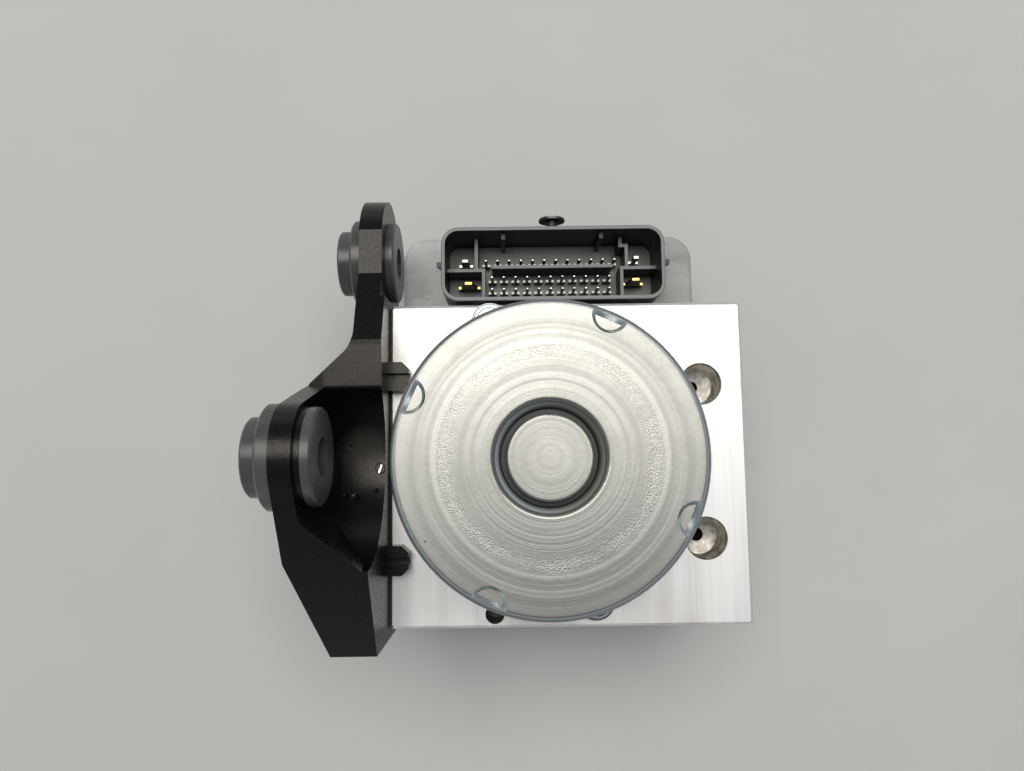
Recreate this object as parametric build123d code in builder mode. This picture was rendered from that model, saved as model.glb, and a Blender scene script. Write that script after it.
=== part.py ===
from build123d import *
import os
from math import cos, radians, sin

# ABS brake module: a valve block with its pump motor on top, its control unit underneath
# and a cast bracket on its left side.
# Frame: the motor axis is X = Y = 0, +Z points to the motor's end, Z = 0 is the flat
# underside of the control unit, on which the module stands. Millimetres.

os.makedirs("parts", exist_ok=True)


def finish(piece, name):
    """Label a finished piece and write it to its own file."""
    piece.part.label = name
    export_step(piece.part, f"parts/{name}.step")


# ---------------------------------------------------------------- driving dimensions
fit_gap = 0.05          # radial gap of running fits
seat_gap = 0.1          # gap of pressed or seated pieces
free_gap = 0.3          # gap between faces that pass each other
cut_over = 10.0         # how far a cutter runs past what it cuts

# control unit
ecu_length = 97.0
ecu_width = 119.0
ecu_height = 38.0
ecu_side_shift = -3.0
ecu_front_inset = 1.7
ecu_corner = 8.0
ecu_roof_edge = 1.7
ecu_wall = 2.4
cover_thickness = 2.5
cover_lip = 3.0
board_thickness = 1.6
board_level = 8.0
pin_tail_end = 1.0
ecu_screw_radius = 2.0
ecu_screw_grip = 8.0
ecu_screw_head = 4.0
ecu_screw_inset = 4.0

# valve block
block_length = 100.0
block_width = 90.0
block_height = 37.0
block_center = (7.5, -1.0)
block_chamfer = 0.8
spare_hole_x = -13.5
spare_hole_inset = 3.7
spare_hole_radius = 2.65
plug_radius = 2.4
plug_depth = 5.0
plug_right_places = ((-30.0, 9.0), (24.0, 28.0))
plug_front_places = ((-34.0, 9.0), (50.0, 12.0))

# line ports
line_port_x = 45.3
line_port_pitch = 43.0
line_port_radius = 5.95
line_port_depth = 10.8
line_port_drill = 1.9
line_port_drill_depth = 4.0
line_port_cone = 1.6
wheel_port_radius = 4.7
wheel_port_depth = 12.0
wheel_port_cone = 1.4
wheel_port_drill = 1.6
wheel_port_drill_depth = 5.4
wheel_port_pitch = 21.0
wheel_port_x = 7.5
wheel_port_rise = 21.5

# pump
pump_rise = 21.5
eccentricity = 1.5
eccentric_radius = 5.5
ring_radius = 8.0
ring_height = 9.0
chamber_radius = 10.4
chamber_drop = 8.0
pump_bore_radius = 6.5
piston_radius = 4.0
piston_length = 15.0
sleeve_start = 13.0
sleeve_length = 21.0

# accumulators
accumulator_x = (-18.0, 31.0)
accumulator_radius = 10.5
accumulator_depth = 24.0
accumulator_rise = 17.0
accumulator_cap_thickness = 3.0
accumulator_piston_length = 11.0
cup_floor = 3.0
cup_wall = 2.0

# valves
valve_center = (6.0, -12.0)
valve_pitch = 20.0
valve_bore_radius = 5.5
valve_bore_depth = 11.0
dome_radius = 3.1
dome_length = 18.0
coil_radius = 8.0
coil_length = 19.0

# pressure sensor and motor terminals
sensor_spot = (7.5, 31.0)
sensor_radius = 5.0
sensor_length = 14.0
terminal_spot = (-1.0, 22.0)
terminal_bore = 4.0

# motor
can_radius = 35.0
can_wall = 1.8
motor_height = 50.0
can_shoulder = 1.5
can_flange_radius = 38.0
can_flange_thickness = 2.0
boss_radius = 9.6
groove_radius = 12.4
groove_depth = 4.6
groove_slope = 1.7
boss_drop = 0.4
end_step_radius = 28.2
end_step = 0.35
end_slope = 1.6
dent_count = 4
dent_angle = 66.0
dent_radius = 3.3
dent_center_distance = 34.0
dent_chord_distance = 32.9
dent_depth = 1.2
dent_slope = 35.0
motor_screw_circle = 41.2
motor_screw_angle = 110.0
motor_screw_radius = 2.5
motor_screw_head = 5.1
motor_screw_length = 9.0
shield_thickness = 2.5
shaft_radius = 4.0
journal_radius = 3.0
core_radius = 27.0
core_length = 20.0
core_rise = 17.0
slot_count = 12
slot_width = 5.4
commutator_radius = 9.5
commutator_length = 8.0
magnet_count = 4
magnet_span = 70.0
magnet_thickness = 4.9
magnet_length = 28.0
bearing_outer_radius = 11.0
bearing_height = 7.0
ball_radius = 1.3
ball_count = 8

# connector header
header_side_shift = 0.25
header_margin = 5.25
header_length = 66.9
header_width = 22.5
header_height = 29.0
header_corner = 5.2
header_wall = 1.1
socket_depth = 18.0
socket_floor = 3.0
partition_height = 9.8
partition_wall = 1.0
key_rib_reach = 2.0
key_rib_width = 1.2
key_rib_drop = 3.0
peg_radius = 1.85
peg_head_radius = 3.95
peg_length = 2.5
peg_head_thickness = 0.7
peg_drop = 4.2
nub_reach = 1.4
nub_width = 1.6
nub_height = 6.0
nub_drop = 1.0
pin_pitch = 3.62
pin_counts = (12, 11, 11)
pin_row_places = (3.1, -2.1, -5.8)
pin_row_starts = (-20.35, -18.45, -18.45)
pin_height = 9.5
pin_width = 0.9
pin_thickness = 0.7
pin_shoulder = 2.5
pin_shoulder_height = 3.2
pin_tip = 0.8
pin_tail = 0.6
blade_tail = 2.0

# bracket: reaches count from the block's left face, heights from its top
ear_reach = 19.7
arm_reach = 7.7
end_reach = 11.7
bracket_low = -33.0
bracket_overhang = 2.6
bracket_front_rise = 19.0
lower_axis = (1.0, 34.0)
lower_ear_radius = 13.0
lower_ear_thickness = 5.2
upper_axis = (59.0, -10.0)
upper_ear_radius = 18.0
upper_ear_setback = 1.3
upper_ear_relief = 1.0
facet_level = 7.2
facet_back = 2.6
facet_front = -7.1
gusset_back = (32.0, 15.0)
gusset_front = (20.0, 14.0)
arm_low = -24.0
arm_low_start = 45.0
body_low_end = 35.0
arm_root = 31.0
ear_front = -24.0
arm_blend = 8.0
ear_blend = 3.0
lean_low = -16.0
lean_high = -2.0
lean_blend = 6.0
pocket_radius = 27.0
pocket_back = 40.0
pocket_front_left = -13.8
pocket_front_right = -28.1
pocket_blend = 4.0
lug_reach = 6.0
lug_width = 8.0
lug_height = 5.0
lug_chamfer = 2.0
lug_root = 2.0
lug_groove_width = 1.7
lug_groove_depth = 2.4
lug_spots = (23.2, -27.0)
bracket_screw_places = ((30.0, -13.0), (-34.0, -9.0), (-22.0, -27.0))
bracket_screw_radius = 2.9
bracket_screw_head = 5.0
bracket_screw_grip = 10.0
bracket_screw_flange = 6.0
spot_face_gap = 0.6

# bushes
bush_hole = 4.6
bush_neck = 9.0
bush_nose = 9.55
bush_flange = 12.65
bush_nose_length = 4.1
bush_nose_edge = 0.5
bush_flange_left = 3.4
bush_flange_edge = 0.6
bush_neck_length = 6.8
bush_flange_right = 2.4
bush_right_edge = 0.5
bush_right_step = 0.9

# ---------------------------------------------------------------- derived places
block_top = ecu_height + block_height
block_left = block_center[0] - block_length / 2
block_right = block_center[0] + block_length / 2
block_front = block_center[1] - block_width / 2
block_back = block_center[1] + block_width / 2
motor_top = block_top + motor_height
ecu_center = (
    block_center[0] + ecu_side_shift,
    block_front + ecu_front_inset + ecu_width / 2,
)
ecu_left = ecu_center[0] - ecu_length / 2
ecu_right = ecu_center[0] + ecu_length / 2
ecu_front = ecu_center[1] - ecu_width / 2
ecu_back = ecu_center[1] + ecu_width / 2
header_center = (
    ecu_center[0] + header_side_shift,
    ecu_back - header_margin - header_width / 2,
)
header_rim = ecu_height + header_height
socket_level = header_rim - socket_depth
screw_left = max(ecu_left + 5.5, block_left + ecu_screw_inset)
screw_right = min(ecu_right - 5.0, block_right - ecu_screw_inset)
screw_front = ecu_front + 5.3
screw_back = block_back - 5.0
board_spots = [(x, y) for y in (screw_front, screw_back) for x in (screw_left, screw_right)]
pump_level = ecu_height + pump_rise
chamber_floor = pump_level - chamber_drop
wheel_port_level = ecu_height + wheel_port_rise
accumulator_level = ecu_height + accumulator_rise
core_start = block_top + core_rise
valve_spots = [
    (valve_center[0] + (column - 1.5) * valve_pitch, valve_center[1] + (row - 1) * valve_pitch)
    for row in range(3)
    for column in range(4)
]
screw_place = [
    (
        motor_screw_circle * cos(radians(motor_screw_angle + turn)),
        motor_screw_circle * sin(radians(motor_screw_angle + turn)),
    )
    for turn in (0, 180)
]
spare_hole = (spare_hole_x, block_front + spare_hole_inset)
plug_right_spots = [(y, ecu_height + rise) for y, rise in plug_right_places]
plug_front_spots = [(x, ecu_height + rise) for x, rise in plug_front_places]
bracket_screw_spots = [(y, block_top + rise) for y, rise in bracket_screw_places]
bracket_ear_left = block_left - ear_reach
bracket_arm_left = block_left - arm_reach
bracket_end_left = block_left - end_reach
bracket_front = block_front - bracket_overhang


# ---------------------------------------------------------------- valve block
with BuildPart() as hydraulic_block:
    with BuildSketch(Plane.XY.offset(ecu_height)):
        with Locations(block_center):
            Rectangle(block_length, block_width)
    extrude(amount=block_height)
    chamfer(hydraulic_block.edges().filter_by(Axis.Z), block_chamfer)
    chamfer(hydraulic_block.faces().sort_by(Axis.Z)[-1].edges(), block_chamfer)
    # eccentric chamber with the bearing seat above it
    with BuildSketch(Plane.XY.offset(block_top)):
        Circle(bearing_outer_radius + seat_gap)
    extrude(amount=-(bearing_height - shield_thickness - 0.5), mode=Mode.SUBTRACT)
    with BuildSketch(Plane.XY.offset(block_top)):
        Circle(chamber_radius)
    extrude(amount=chamber_floor - block_top, mode=Mode.SUBTRACT)
    # pump bores from both side faces into the chamber
    with BuildSketch(Plane.YZ.offset(block_left)):
        with Locations((0, pump_level)):
            Circle(pump_bore_radius)
    extrude(amount=block_length, mode=Mode.SUBTRACT)
    # line ports on the motor side: bore, cone seat and drilling
    line_ports = [(line_port_x, block_center[1] + side * line_port_pitch / 2) for side in (-1, 1)]
    for radius, depth in (
        (line_port_radius, line_port_depth),
        (line_port_drill, line_port_depth + line_port_drill_depth),
    ):
        with BuildSketch(Plane.XY.offset(block_top)):
            with Locations(*line_ports):
                Circle(radius)
        extrude(amount=-depth, mode=Mode.SUBTRACT)
    with Locations(*[(x, y, block_top - line_port_depth) for x, y in line_ports]):
        Cone(
            line_port_drill,
            line_port_radius,
            line_port_cone,
            align=(Align.CENTER, Align.CENTER, Align.MAX),
            mode=Mode.SUBTRACT,
        )
    # wheel ports in the front face, made the same way
    for radius, depth in (
        (wheel_port_radius, wheel_port_depth),
        (wheel_port_drill, wheel_port_depth + wheel_port_drill_depth),
    ):
        with BuildSketch(Plane.XZ.offset(-block_front)):
            with Locations((wheel_port_x, wheel_port_level)):
                with GridLocations(wheel_port_pitch, 1, 4, 1):
                    Circle(radius)
        extrude(amount=-depth, mode=Mode.SUBTRACT)
    with Locations(Plane.XZ.offset(-block_front - wheel_port_depth)):
        with Locations((wheel_port_x, wheel_port_level)):
            with GridLocations(wheel_port_pitch, 1, 4, 1):
                Cone(
                    wheel_port_drill,
                    wheel_port_radius,
                    wheel_port_cone,
                    align=(Align.CENTER, Align.CENTER, Align.MAX),
                    mode=Mode.SUBTRACT,
                )
    # accumulator bores in the back face
    with BuildSketch(Plane.XZ.offset(-block_back)):
        with Locations(*[(x, accumulator_level) for x in accumulator_x]):
            Circle(accumulator_radius)
    extrude(amount=accumulator_depth, mode=Mode.SUBTRACT)
    # valve bores and sensor bore from below
    with BuildSketch(Plane.XY.offset(ecu_height)):
        with Locations(*valve_spots):
            Circle(valve_bore_radius)
        with Locations(sensor_spot):
            Circle(sensor_radius)
    extrude(amount=valve_bore_depth, mode=Mode.SUBTRACT)
    # passage of the motor terminals
    with BuildSketch(Plane.XY.offset(ecu_height)):
        with Locations(terminal_spot):
            Circle(terminal_bore)
    extrude(amount=block_height, mode=Mode.SUBTRACT)
    # motor screw holes and the spare tapped hole
    with BuildSketch(Plane.XY.offset(block_top)):
        with Locations(*screw_place):
            Circle(motor_screw_radius + fit_gap)
        with Locations(spare_hole):
            Circle(spare_hole_radius)
    extrude(amount=-motor_screw_length - 1, mode=Mode.SUBTRACT)
    # control unit screw holes
    with BuildSketch(Plane.XY.offset(ecu_height)):
        with Locations(*board_spots):
            Circle(ecu_screw_radius + fit_gap)
    extrude(amount=ecu_screw_grip + 1, mode=Mode.SUBTRACT)
    # bracket screw holes in the left face
    with BuildSketch(Plane.YZ.offset(block_left)):
        with Locations(*bracket_screw_spots):
            Circle(bracket_screw_radius + fit_gap)
    extrude(amount=bracket_screw_grip + 1, mode=Mode.SUBTRACT)
    # closed drillings, ends taken by pressed plugs
    with BuildSketch(Plane.YZ.offset(block_right)):
        with Locations(*plug_right_spots):
            Circle(plug_radius)
    extrude(amount=-plug_depth, mode=Mode.SUBTRACT)
    with BuildSketch(Plane.XZ.offset(-block_front)):
        with Locations(*plug_front_spots):
            Circle(plug_radius)
    extrude(amount=-plug_depth, mode=Mode.SUBTRACT)
finish(hydraulic_block, "hydraulic_block")


# ---------------------------------------------------------------- pump and accumulators
def coil_spring(start, length, radius, wire, turns):
    """A wound compression spring that stands on the start plane."""
    with BuildPart() as spring:
        with BuildLine():
            path = Helix((length - 2 * wire) / turns, length - 2 * wire, radius - wire)
        with BuildSketch(Plane(origin=path @ 0, z_dir=path % 0)):
            RegularPolygon(wire, 6)
        sweep(is_frenet=True)
    spring.part.locate(start.offset(wire).location)
    return spring


piston_start = ring_radius + eccentricity + free_gap
sleeve_end = sleeve_start + sleeve_length
for side, name in ((-1, "left"), (1, "right")):
    outward = Plane(origin=(0, 0, pump_level), x_dir=(0, 1, 0), z_dir=(side, 0, 0))
    face_distance = block_right if side > 0 else -block_left
    with BuildPart() as pump_sleeve:
        with BuildSketch(outward.offset(sleeve_start)):
            Circle(pump_bore_radius - seat_gap)
            Circle(piston_radius + fit_gap, mode=Mode.SUBTRACT)
        extrude(amount=sleeve_length)
    finish(pump_sleeve, f"pump_sleeve_{name}")
    with BuildPart() as pump_piston:
        with BuildSketch(outward.offset(piston_start)):
            Circle(piston_radius)
        extrude(amount=piston_length)
        chamfer(pump_piston.edges(), 0.4)
    finish(pump_piston, f"pump_piston_{name}")
    with BuildPart() as pump_plug:
        with BuildSketch(outward.offset(sleeve_end + seat_gap)):
            Circle(pump_bore_radius - seat_gap)
        extrude(amount=face_distance - sleeve_end - seat_gap)
        with BuildSketch(outward.offset(face_distance)):
            RegularPolygon(3.0, 6, major_radius=False)
        extrude(amount=-3.0, mode=Mode.SUBTRACT)
    finish(pump_plug, f"pump_plug_{name}")
    spring_start = piston_start + piston_length + seat_gap
    pump_spring = coil_spring(
        outward.offset(spring_start), sleeve_end - spring_start, piston_radius - 0.4, 0.45, 4
    )
    finish(pump_spring, f"pump_spring_{name}")

for spot, name in zip(accumulator_x, ("left", "right")):
    inner = Plane(
        origin=(spot, block_back - accumulator_depth, accumulator_level),
        x_dir=(1, 0, 0),
        z_dir=(0, 1, 0),
    )
    cap_start = accumulator_depth - accumulator_cap_thickness
    with BuildPart() as accumulator_piston:
        with BuildSketch(inner.offset(free_gap)):
            Circle(accumulator_radius - fit_gap)
        extrude(amount=accumulator_piston_length)
        with BuildSketch(inner.offset(free_gap + cup_floor)):
            Circle(accumulator_radius - fit_gap - cup_wall)
        extrude(amount=accumulator_piston_length, mode=Mode.SUBTRACT)
    finish(accumulator_piston, f"accumulator_piston_{name}")
    with BuildPart() as accumulator_cap:
        with BuildSketch(inner.offset(cap_start)):
            Circle(accumulator_radius - seat_gap)
        extrude(amount=accumulator_cap_thickness)
        with BuildSketch(inner.offset(accumulator_depth)):
            Circle(accumulator_radius - 2.5)
        extrude(amount=-1.0, mode=Mode.SUBTRACT)
    finish(accumulator_cap, f"accumulator_cap_{name}")
    spring_start = free_gap + cup_floor + seat_gap
    accumulator_spring = coil_spring(
        inner.offset(spring_start), cap_start - spring_start - seat_gap, 7.6, 0.8, 4
    )
    finish(accumulator_spring, f"accumulator_spring_{name}")

with BuildPart() as gallery_plugs:
    with BuildSketch(Plane.YZ.offset(block_right)):
        with Locations(*plug_right_spots):
            Circle(plug_radius - fit_gap)
    extrude(amount=-plug_depth)
    with BuildSketch(Plane.XZ.offset(-block_front)):
        with Locations(*plug_front_spots):
            Circle(plug_radius - fit_gap)
    extrude(amount=-plug_depth)
finish(gallery_plugs, "gallery_plugs")


# ---------------------------------------------------------------- valves and sensor
def valve_cartridge(spot, dome, collar):
    """A sealed solenoid valve: the pressed body in the block and the dome below it."""
    with BuildPart() as valve:
        with BuildSketch(Plane.XZ):
            with BuildLine():
                Polyline(
                    (0, ecu_height - dome),
                    (dome_radius - 0.8, ecu_height - dome),
                    (dome_radius, ecu_height - dome + 0.8),
                    (dome_radius, ecu_height - collar),
                    (dome_radius + 0.9, ecu_height - collar),
                    (dome_radius + 0.9, ecu_height + 0.2),
                    (valve_bore_radius - fit_gap, ecu_height + 0.2),
                    (valve_bore_radius - fit_gap, ecu_height + valve_bore_depth - 3.0),
                    (dome_radius, ecu_height + valve_bore_depth - 0.4),
                    (0, ecu_height + valve_bore_depth - 0.4),
                    close=True,
                )
            make_face()
        revolve(axis=Axis.Z)
    valve.part.position = (spot[0], spot[1], 0)
    return valve


valve_kinds = (
    ["inlet_valve"] * 4 + ["changeover_valve", "high_pressure_valve"] * 2 + ["outlet_valve"] * 4
)
valve_counts = {}
for kind, spot in zip(valve_kinds, valve_spots):
    valve_counts[kind] = valve_counts.get(kind, 0) + 1
    shorter = 2.0 if kind == "outlet_valve" else 0.0
    cartridge = valve_cartridge(spot, dome_length - shorter, 1.5)
    finish(cartridge, f"{kind}_{valve_counts[kind]}")

coil_start = ecu_height - 3.5 - coil_length
with BuildPart() as valve_coils:
    with BuildSketch(Plane.XY.offset(coil_start)):
        with Locations(*valve_spots):
            Circle(coil_radius)
            Circle(dome_radius + free_gap, mode=Mode.SUBTRACT)
    extrude(amount=coil_length)
finish(valve_coils, "valve_coils")

with BuildPart() as pressure_sensor:
    with BuildSketch(Plane.XY.offset(ecu_height - sensor_length)):
        with Locations(sensor_spot):
            Circle(sensor_radius - fit_gap)
    extrude(amount=sensor_length + valve_bore_depth - 0.4)
    with BuildSketch(Plane.XY.offset(board_level + board_thickness + seat_gap)):
        with Locations(sensor_spot):
            Circle(2.5)
    extrude(amount=ecu_height - sensor_length - board_level - board_thickness - seat_gap)
finish(pressure_sensor, "pressure_sensor")


# ---------------------------------------------------------------- motor
groove_level = motor_top - groove_depth
can_inner = can_radius - can_wall
step_level = motor_top - end_step
with BuildPart() as motor_can:
    with BuildSketch(Plane.XZ) as can_section:
        with BuildLine():
            Polyline(
                (can_inner, block_top),
                (can_flange_radius, block_top),
                (can_flange_radius, block_top + can_flange_thickness),
                (can_radius, block_top + can_flange_thickness),
                (can_radius, motor_top),
                (end_step_radius + end_slope, motor_top),
                (end_step_radius, step_level),
                (groove_radius, step_level),
                (groove_radius - groove_slope, groove_level),
                (boss_radius + 0.1, groove_level),
                (boss_radius - 0.1, motor_top - boss_drop),
                (0, motor_top - boss_drop),
                (0, motor_top - boss_drop - can_wall),
                (boss_radius - can_wall, motor_top - boss_drop - can_wall),
                (boss_radius - can_wall, groove_level - can_wall),
                (groove_radius + can_wall, groove_level - can_wall),
                (groove_radius + can_wall, step_level - can_wall),
                (can_inner, step_level - can_wall),
                close=True,
            )
        make_face()
        for corner, radius in (
            ((can_radius, motor_top), can_shoulder),
            ((groove_radius, step_level), 1.2),
            ((boss_radius - 0.1, motor_top - boss_drop), 0.5),
        ):
            fillet(can_section.vertices().sort_by_distance((*corner, 0))[0], radius)
    revolve(axis=Axis.Z)
    # screw ears of the flange
    for turn in (0, 180):
        with BuildSketch(Plane.XY.offset(block_top).rotated((0, 0, motor_screw_angle + turn))):
            with BuildLine():
                CenterArc((motor_screw_circle, 0), motor_screw_head + 0.2, 0, 360)
                Line((can_inner + 1, -9), (can_inner + 1, 9))
            make_hull()
        extrude(amount=can_flange_thickness)
    with BuildSketch(Plane.XY.offset(block_top)):
        with Locations(*screw_place):
            Circle(motor_screw_radius + free_gap)
    extrude(amount=can_flange_thickness, mode=Mode.SUBTRACT)
    # half-moon dents at the shoulder, with sloping walls
    for dent in range(dent_count):
        turn = dent_angle + dent * 360 / dent_count
        with BuildSketch(Plane.XY.offset(motor_top - dent_depth).rotated((0, 0, turn))):
            with Locations((dent_center_distance, 0)):
                Circle(dent_radius)
            with Locations((dent_chord_distance + dent_radius, 0)):
                Rectangle(2 * dent_radius, 2 * dent_radius, mode=Mode.SUBTRACT)
        extrude(amount=dent_depth + free_gap, taper=-dent_slope, mode=Mode.SUBTRACT)
finish(motor_can, "motor_can")

with BuildPart() as motor_screws:
    with BuildSketch(Plane.XY.offset(block_top - motor_screw_length)):
        with Locations(*screw_place):
            Circle(motor_screw_radius)
    extrude(amount=motor_screw_length + can_flange_thickness)
    with BuildSketch(Plane.XY.offset(block_top + can_flange_thickness)):
        with Locations(*screw_place):
            Circle(motor_screw_head)
    extrude(amount=1.0)
    with BuildSketch(Plane.XY.offset(block_top + can_flange_thickness + 1.0)):
        with Locations(*screw_place):
            Circle(motor_screw_head - 1.1)
            RegularPolygon(2.0, 6, mode=Mode.SUBTRACT)
    extrude(amount=2.2)
finish(motor_screws, "motor_screws")

bearing_start = block_top + shield_thickness + 0.5 - bearing_height
with BuildPart() as motor_shield:
    with BuildSketch(Plane.XY.offset(block_top)):
        Circle(can_inner - seat_gap)
        Circle(bearing_outer_radius + seat_gap, mode=Mode.SUBTRACT)
        with Locations(terminal_spot):
            Circle(terminal_bore, mode=Mode.SUBTRACT)
    extrude(amount=shield_thickness)
finish(motor_shield, "motor_shield")

race_radius = (shaft_radius + bearing_outer_radius) / 2
with BuildPart() as front_bearing_outer:
    with BuildSketch(Plane.XY.offset(bearing_start)):
        Circle(bearing_outer_radius)
        Circle(race_radius + ball_radius + seat_gap, mode=Mode.SUBTRACT)
    extrude(amount=bearing_height)
finish(front_bearing_outer, "front_bearing_outer")
with BuildPart() as front_bearing_inner:
    with BuildSketch(Plane.XY.offset(bearing_start)):
        Circle(race_radius - ball_radius - seat_gap)
        Circle(shaft_radius + fit_gap, mode=Mode.SUBTRACT)
    extrude(amount=bearing_height)
finish(front_bearing_inner, "front_bearing_inner")
with BuildPart() as front_bearing_balls:
    with Locations(Plane.XY.offset(bearing_start + bearing_height / 2)):
        with PolarLocations(race_radius, ball_count):
            Sphere(ball_radius)
finish(front_bearing_balls, "front_bearing_balls")

with BuildPart() as shaft_seal:
    with BuildSketch(Plane.XY.offset(bearing_start - 4.0)):
        Circle(chamber_radius - seat_gap)
        Circle(shaft_radius + fit_gap, mode=Mode.SUBTRACT)
    extrude(amount=3.8)
finish(shaft_seal, "shaft_seal")

rear_seat = groove_level - can_wall
rear_depth = motor_top - boss_drop - can_wall - rear_seat
with BuildPart() as rear_bearing:
    with BuildSketch(Plane.XY.offset(rear_seat)):
        Circle(boss_radius - can_wall - seat_gap)
        Circle(journal_radius + fit_gap, mode=Mode.SUBTRACT)
    extrude(amount=rear_depth - seat_gap)
finish(rear_bearing, "rear_bearing")

eccentric_low = pump_level - ring_height / 2 - 0.4
eccentric_high = pump_level + ring_height / 2 + 0.2
with BuildPart() as rotor_shaft:
    with BuildSketch(Plane.XY.offset(eccentric_low)):
        with Locations((0, eccentricity)):
            Circle(eccentric_radius)
    extrude(amount=eccentric_high - eccentric_low)
    with BuildSketch(Plane.XY.offset(eccentric_high)):
        with Locations((0, eccentricity)):
            Circle(eccentric_radius + 1.3)
    extrude(amount=2.0)
    with BuildSketch(Plane.XY.offset(eccentric_high + 2.0)):
        Circle(shaft_radius)
    extrude(amount=core_start + core_length + 2 - eccentric_high)
    with BuildSketch(Plane.XY.offset(core_start + core_length + 2)):
        Circle(journal_radius)
    extrude(amount=rear_seat + rear_depth - 0.6 - core_start - core_length - 2)
finish(rotor_shaft, "rotor_shaft")

with BuildPart() as eccentric_ring:
    with BuildSketch(Plane.XY.offset(pump_level - ring_height / 2)):
        with Locations((0, eccentricity)):
            Circle(ring_radius)
            Circle(eccentric_radius + fit_gap, mode=Mode.SUBTRACT)
    extrude(amount=ring_height)
finish(eccentric_ring, "eccentric_ring")

slot_start = core_radius / 2
with BuildPart() as rotor_core:
    with BuildSketch(Plane.XY.offset(core_start)):
        Circle(core_radius)
        with PolarLocations((slot_start + core_radius + 1) / 2, slot_count):
            Rectangle(core_radius + 1 - slot_start, slot_width, mode=Mode.SUBTRACT)
        Circle(shaft_radius + fit_gap, mode=Mode.SUBTRACT)
    extrude(amount=core_length)
finish(rotor_core, "rotor_core")

winding_outer = core_radius - 1.6
winding_low = core_start - 3.7
winding_high = core_start + core_length + 4.5
with BuildPart() as rotor_windings:
    with BuildSketch(Plane.XY.offset(winding_low)):
        Circle(winding_outer)
        Circle(slot_start - 2.5, mode=Mode.SUBTRACT)
    extrude(amount=core_start - seat_gap - winding_low)
    with BuildSketch(Plane.XY.offset(core_start + core_length + seat_gap)):
        Circle(winding_outer)
        Circle(slot_start + 1.3, mode=Mode.SUBTRACT)
    extrude(amount=winding_high - core_start - core_length - seat_gap)
    with BuildSketch(Plane.XY.offset(core_start - seat_gap)):
        with PolarLocations((slot_start + seat_gap + winding_outer) / 2, slot_count):
            Rectangle(winding_outer - slot_start - 1.5, slot_width - 2 * seat_gap)
    extrude(amount=core_length + 2 * seat_gap)
finish(rotor_windings, "rotor_windings")

commutator_start = winding_low - 0.8 - commutator_length
with BuildPart() as commutator:
    with BuildSketch(Plane.XY.offset(commutator_start)):
        Circle(commutator_radius)
        Circle(shaft_radius + fit_gap, mode=Mode.SUBTRACT)
    extrude(amount=commutator_length)
finish(commutator, "commutator")

magnet_outer = can_inner - seat_gap
magnet_center = core_start + core_length / 2
with BuildPart() as motor_magnets:
    with BuildSketch(Plane.XY.offset(magnet_center - magnet_length / 2)):
        with PolarLocations(0, magnet_count, start_angle=dent_angle):
            with BuildLine():
                reach = magnet_outer
                depth = magnet_outer - magnet_thickness
                first = CenterArc((0, 0), reach, -magnet_span / 2, magnet_span)
                second = CenterArc((0, 0), depth, -magnet_span / 2, magnet_span)
                Line(first @ 0, second @ 0)
                Line(first @ 1, second @ 1)
            make_face()
    extrude(amount=magnet_length)
finish(motor_magnets, "motor_magnets")

holder_level = block_top + shield_thickness + seat_gap
holder_plate = 1.8
brush_size = (5.0, 5.5)
brush_length = 7.0
brush_level = holder_level + holder_plate + 0.9
brush_start = commutator_radius + fit_gap
box_wall = 0.9
box_end = brush_start + brush_length + 9.5
with BuildPart() as brush_holder:
    with BuildSketch(Plane.XY.offset(holder_level)):
        Circle(can_inner - seat_gap)
        Circle(bearing_outer_radius + 0.4, mode=Mode.SUBTRACT)
    extrude(amount=holder_plate)
    for side in (-1, 1):
        with BuildSketch(Plane.XY.offset(holder_level + holder_plate)):
            with Locations((side * (commutator_radius + 2.5 + box_end + 1) / 2, 0)):
                Rectangle(box_end - commutator_radius - 1.5, brush_size[0] + 2 * box_wall + 0.2)
        extrude(amount=brush_size[1] + 1.9)
        with BuildSketch(Plane.XY.offset(brush_level - seat_gap)):
            with Locations((side * box_end / 2, 0)):
                Rectangle(box_end, brush_size[0] + 2 * seat_gap)
        extrude(amount=brush_size[1] + 2 * seat_gap, mode=Mode.SUBTRACT)
    # stem that carries the terminals through the block
    with BuildSketch(Plane.XY.offset(ecu_height - 1.0)):
        with Locations(terminal_spot):
            Circle(terminal_bore - seat_gap)
    extrude(amount=holder_level + holder_plate - ecu_height + 1.0)
finish(brush_holder, "brush_holder")

with BuildPart() as brushes:
    with BuildSketch(Plane.XY.offset(brush_level)):
        with Locations(*[(side * (brush_start + brush_length / 2), 0) for side in (-1, 1)]):
            Rectangle(brush_length, brush_size[0])
    extrude(amount=brush_size[1])
finish(brushes, "brushes")

spring_length = box_end - brush_start - brush_length - 2 * seat_gap
spring_pair = []
for side in (-1, 1):
    seat = Plane(
        origin=(side * (brush_start + brush_length + seat_gap), 0, brush_level + brush_size[1] / 2),
        x_dir=(0, 1, 0),
        z_dir=(side, 0, 0),
    )
    spring_pair.append(coil_spring(seat, spring_length, 2.2, 0.35, 4).part)
with BuildPart() as brush_springs:
    add(spring_pair)
finish(brush_springs, "brush_springs")

with BuildPart() as motor_terminals:
    with BuildSketch(Plane.XY.offset(board_level - 1.0)):
        with Locations(terminal_spot):
            with GridLocations(3.6, 1, 2, 1):
                Rectangle(2.4, 0.8)
    extrude(amount=holder_level + holder_plate + 3.0 - board_level + 1.0)
finish(motor_terminals, "motor_terminals")


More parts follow.
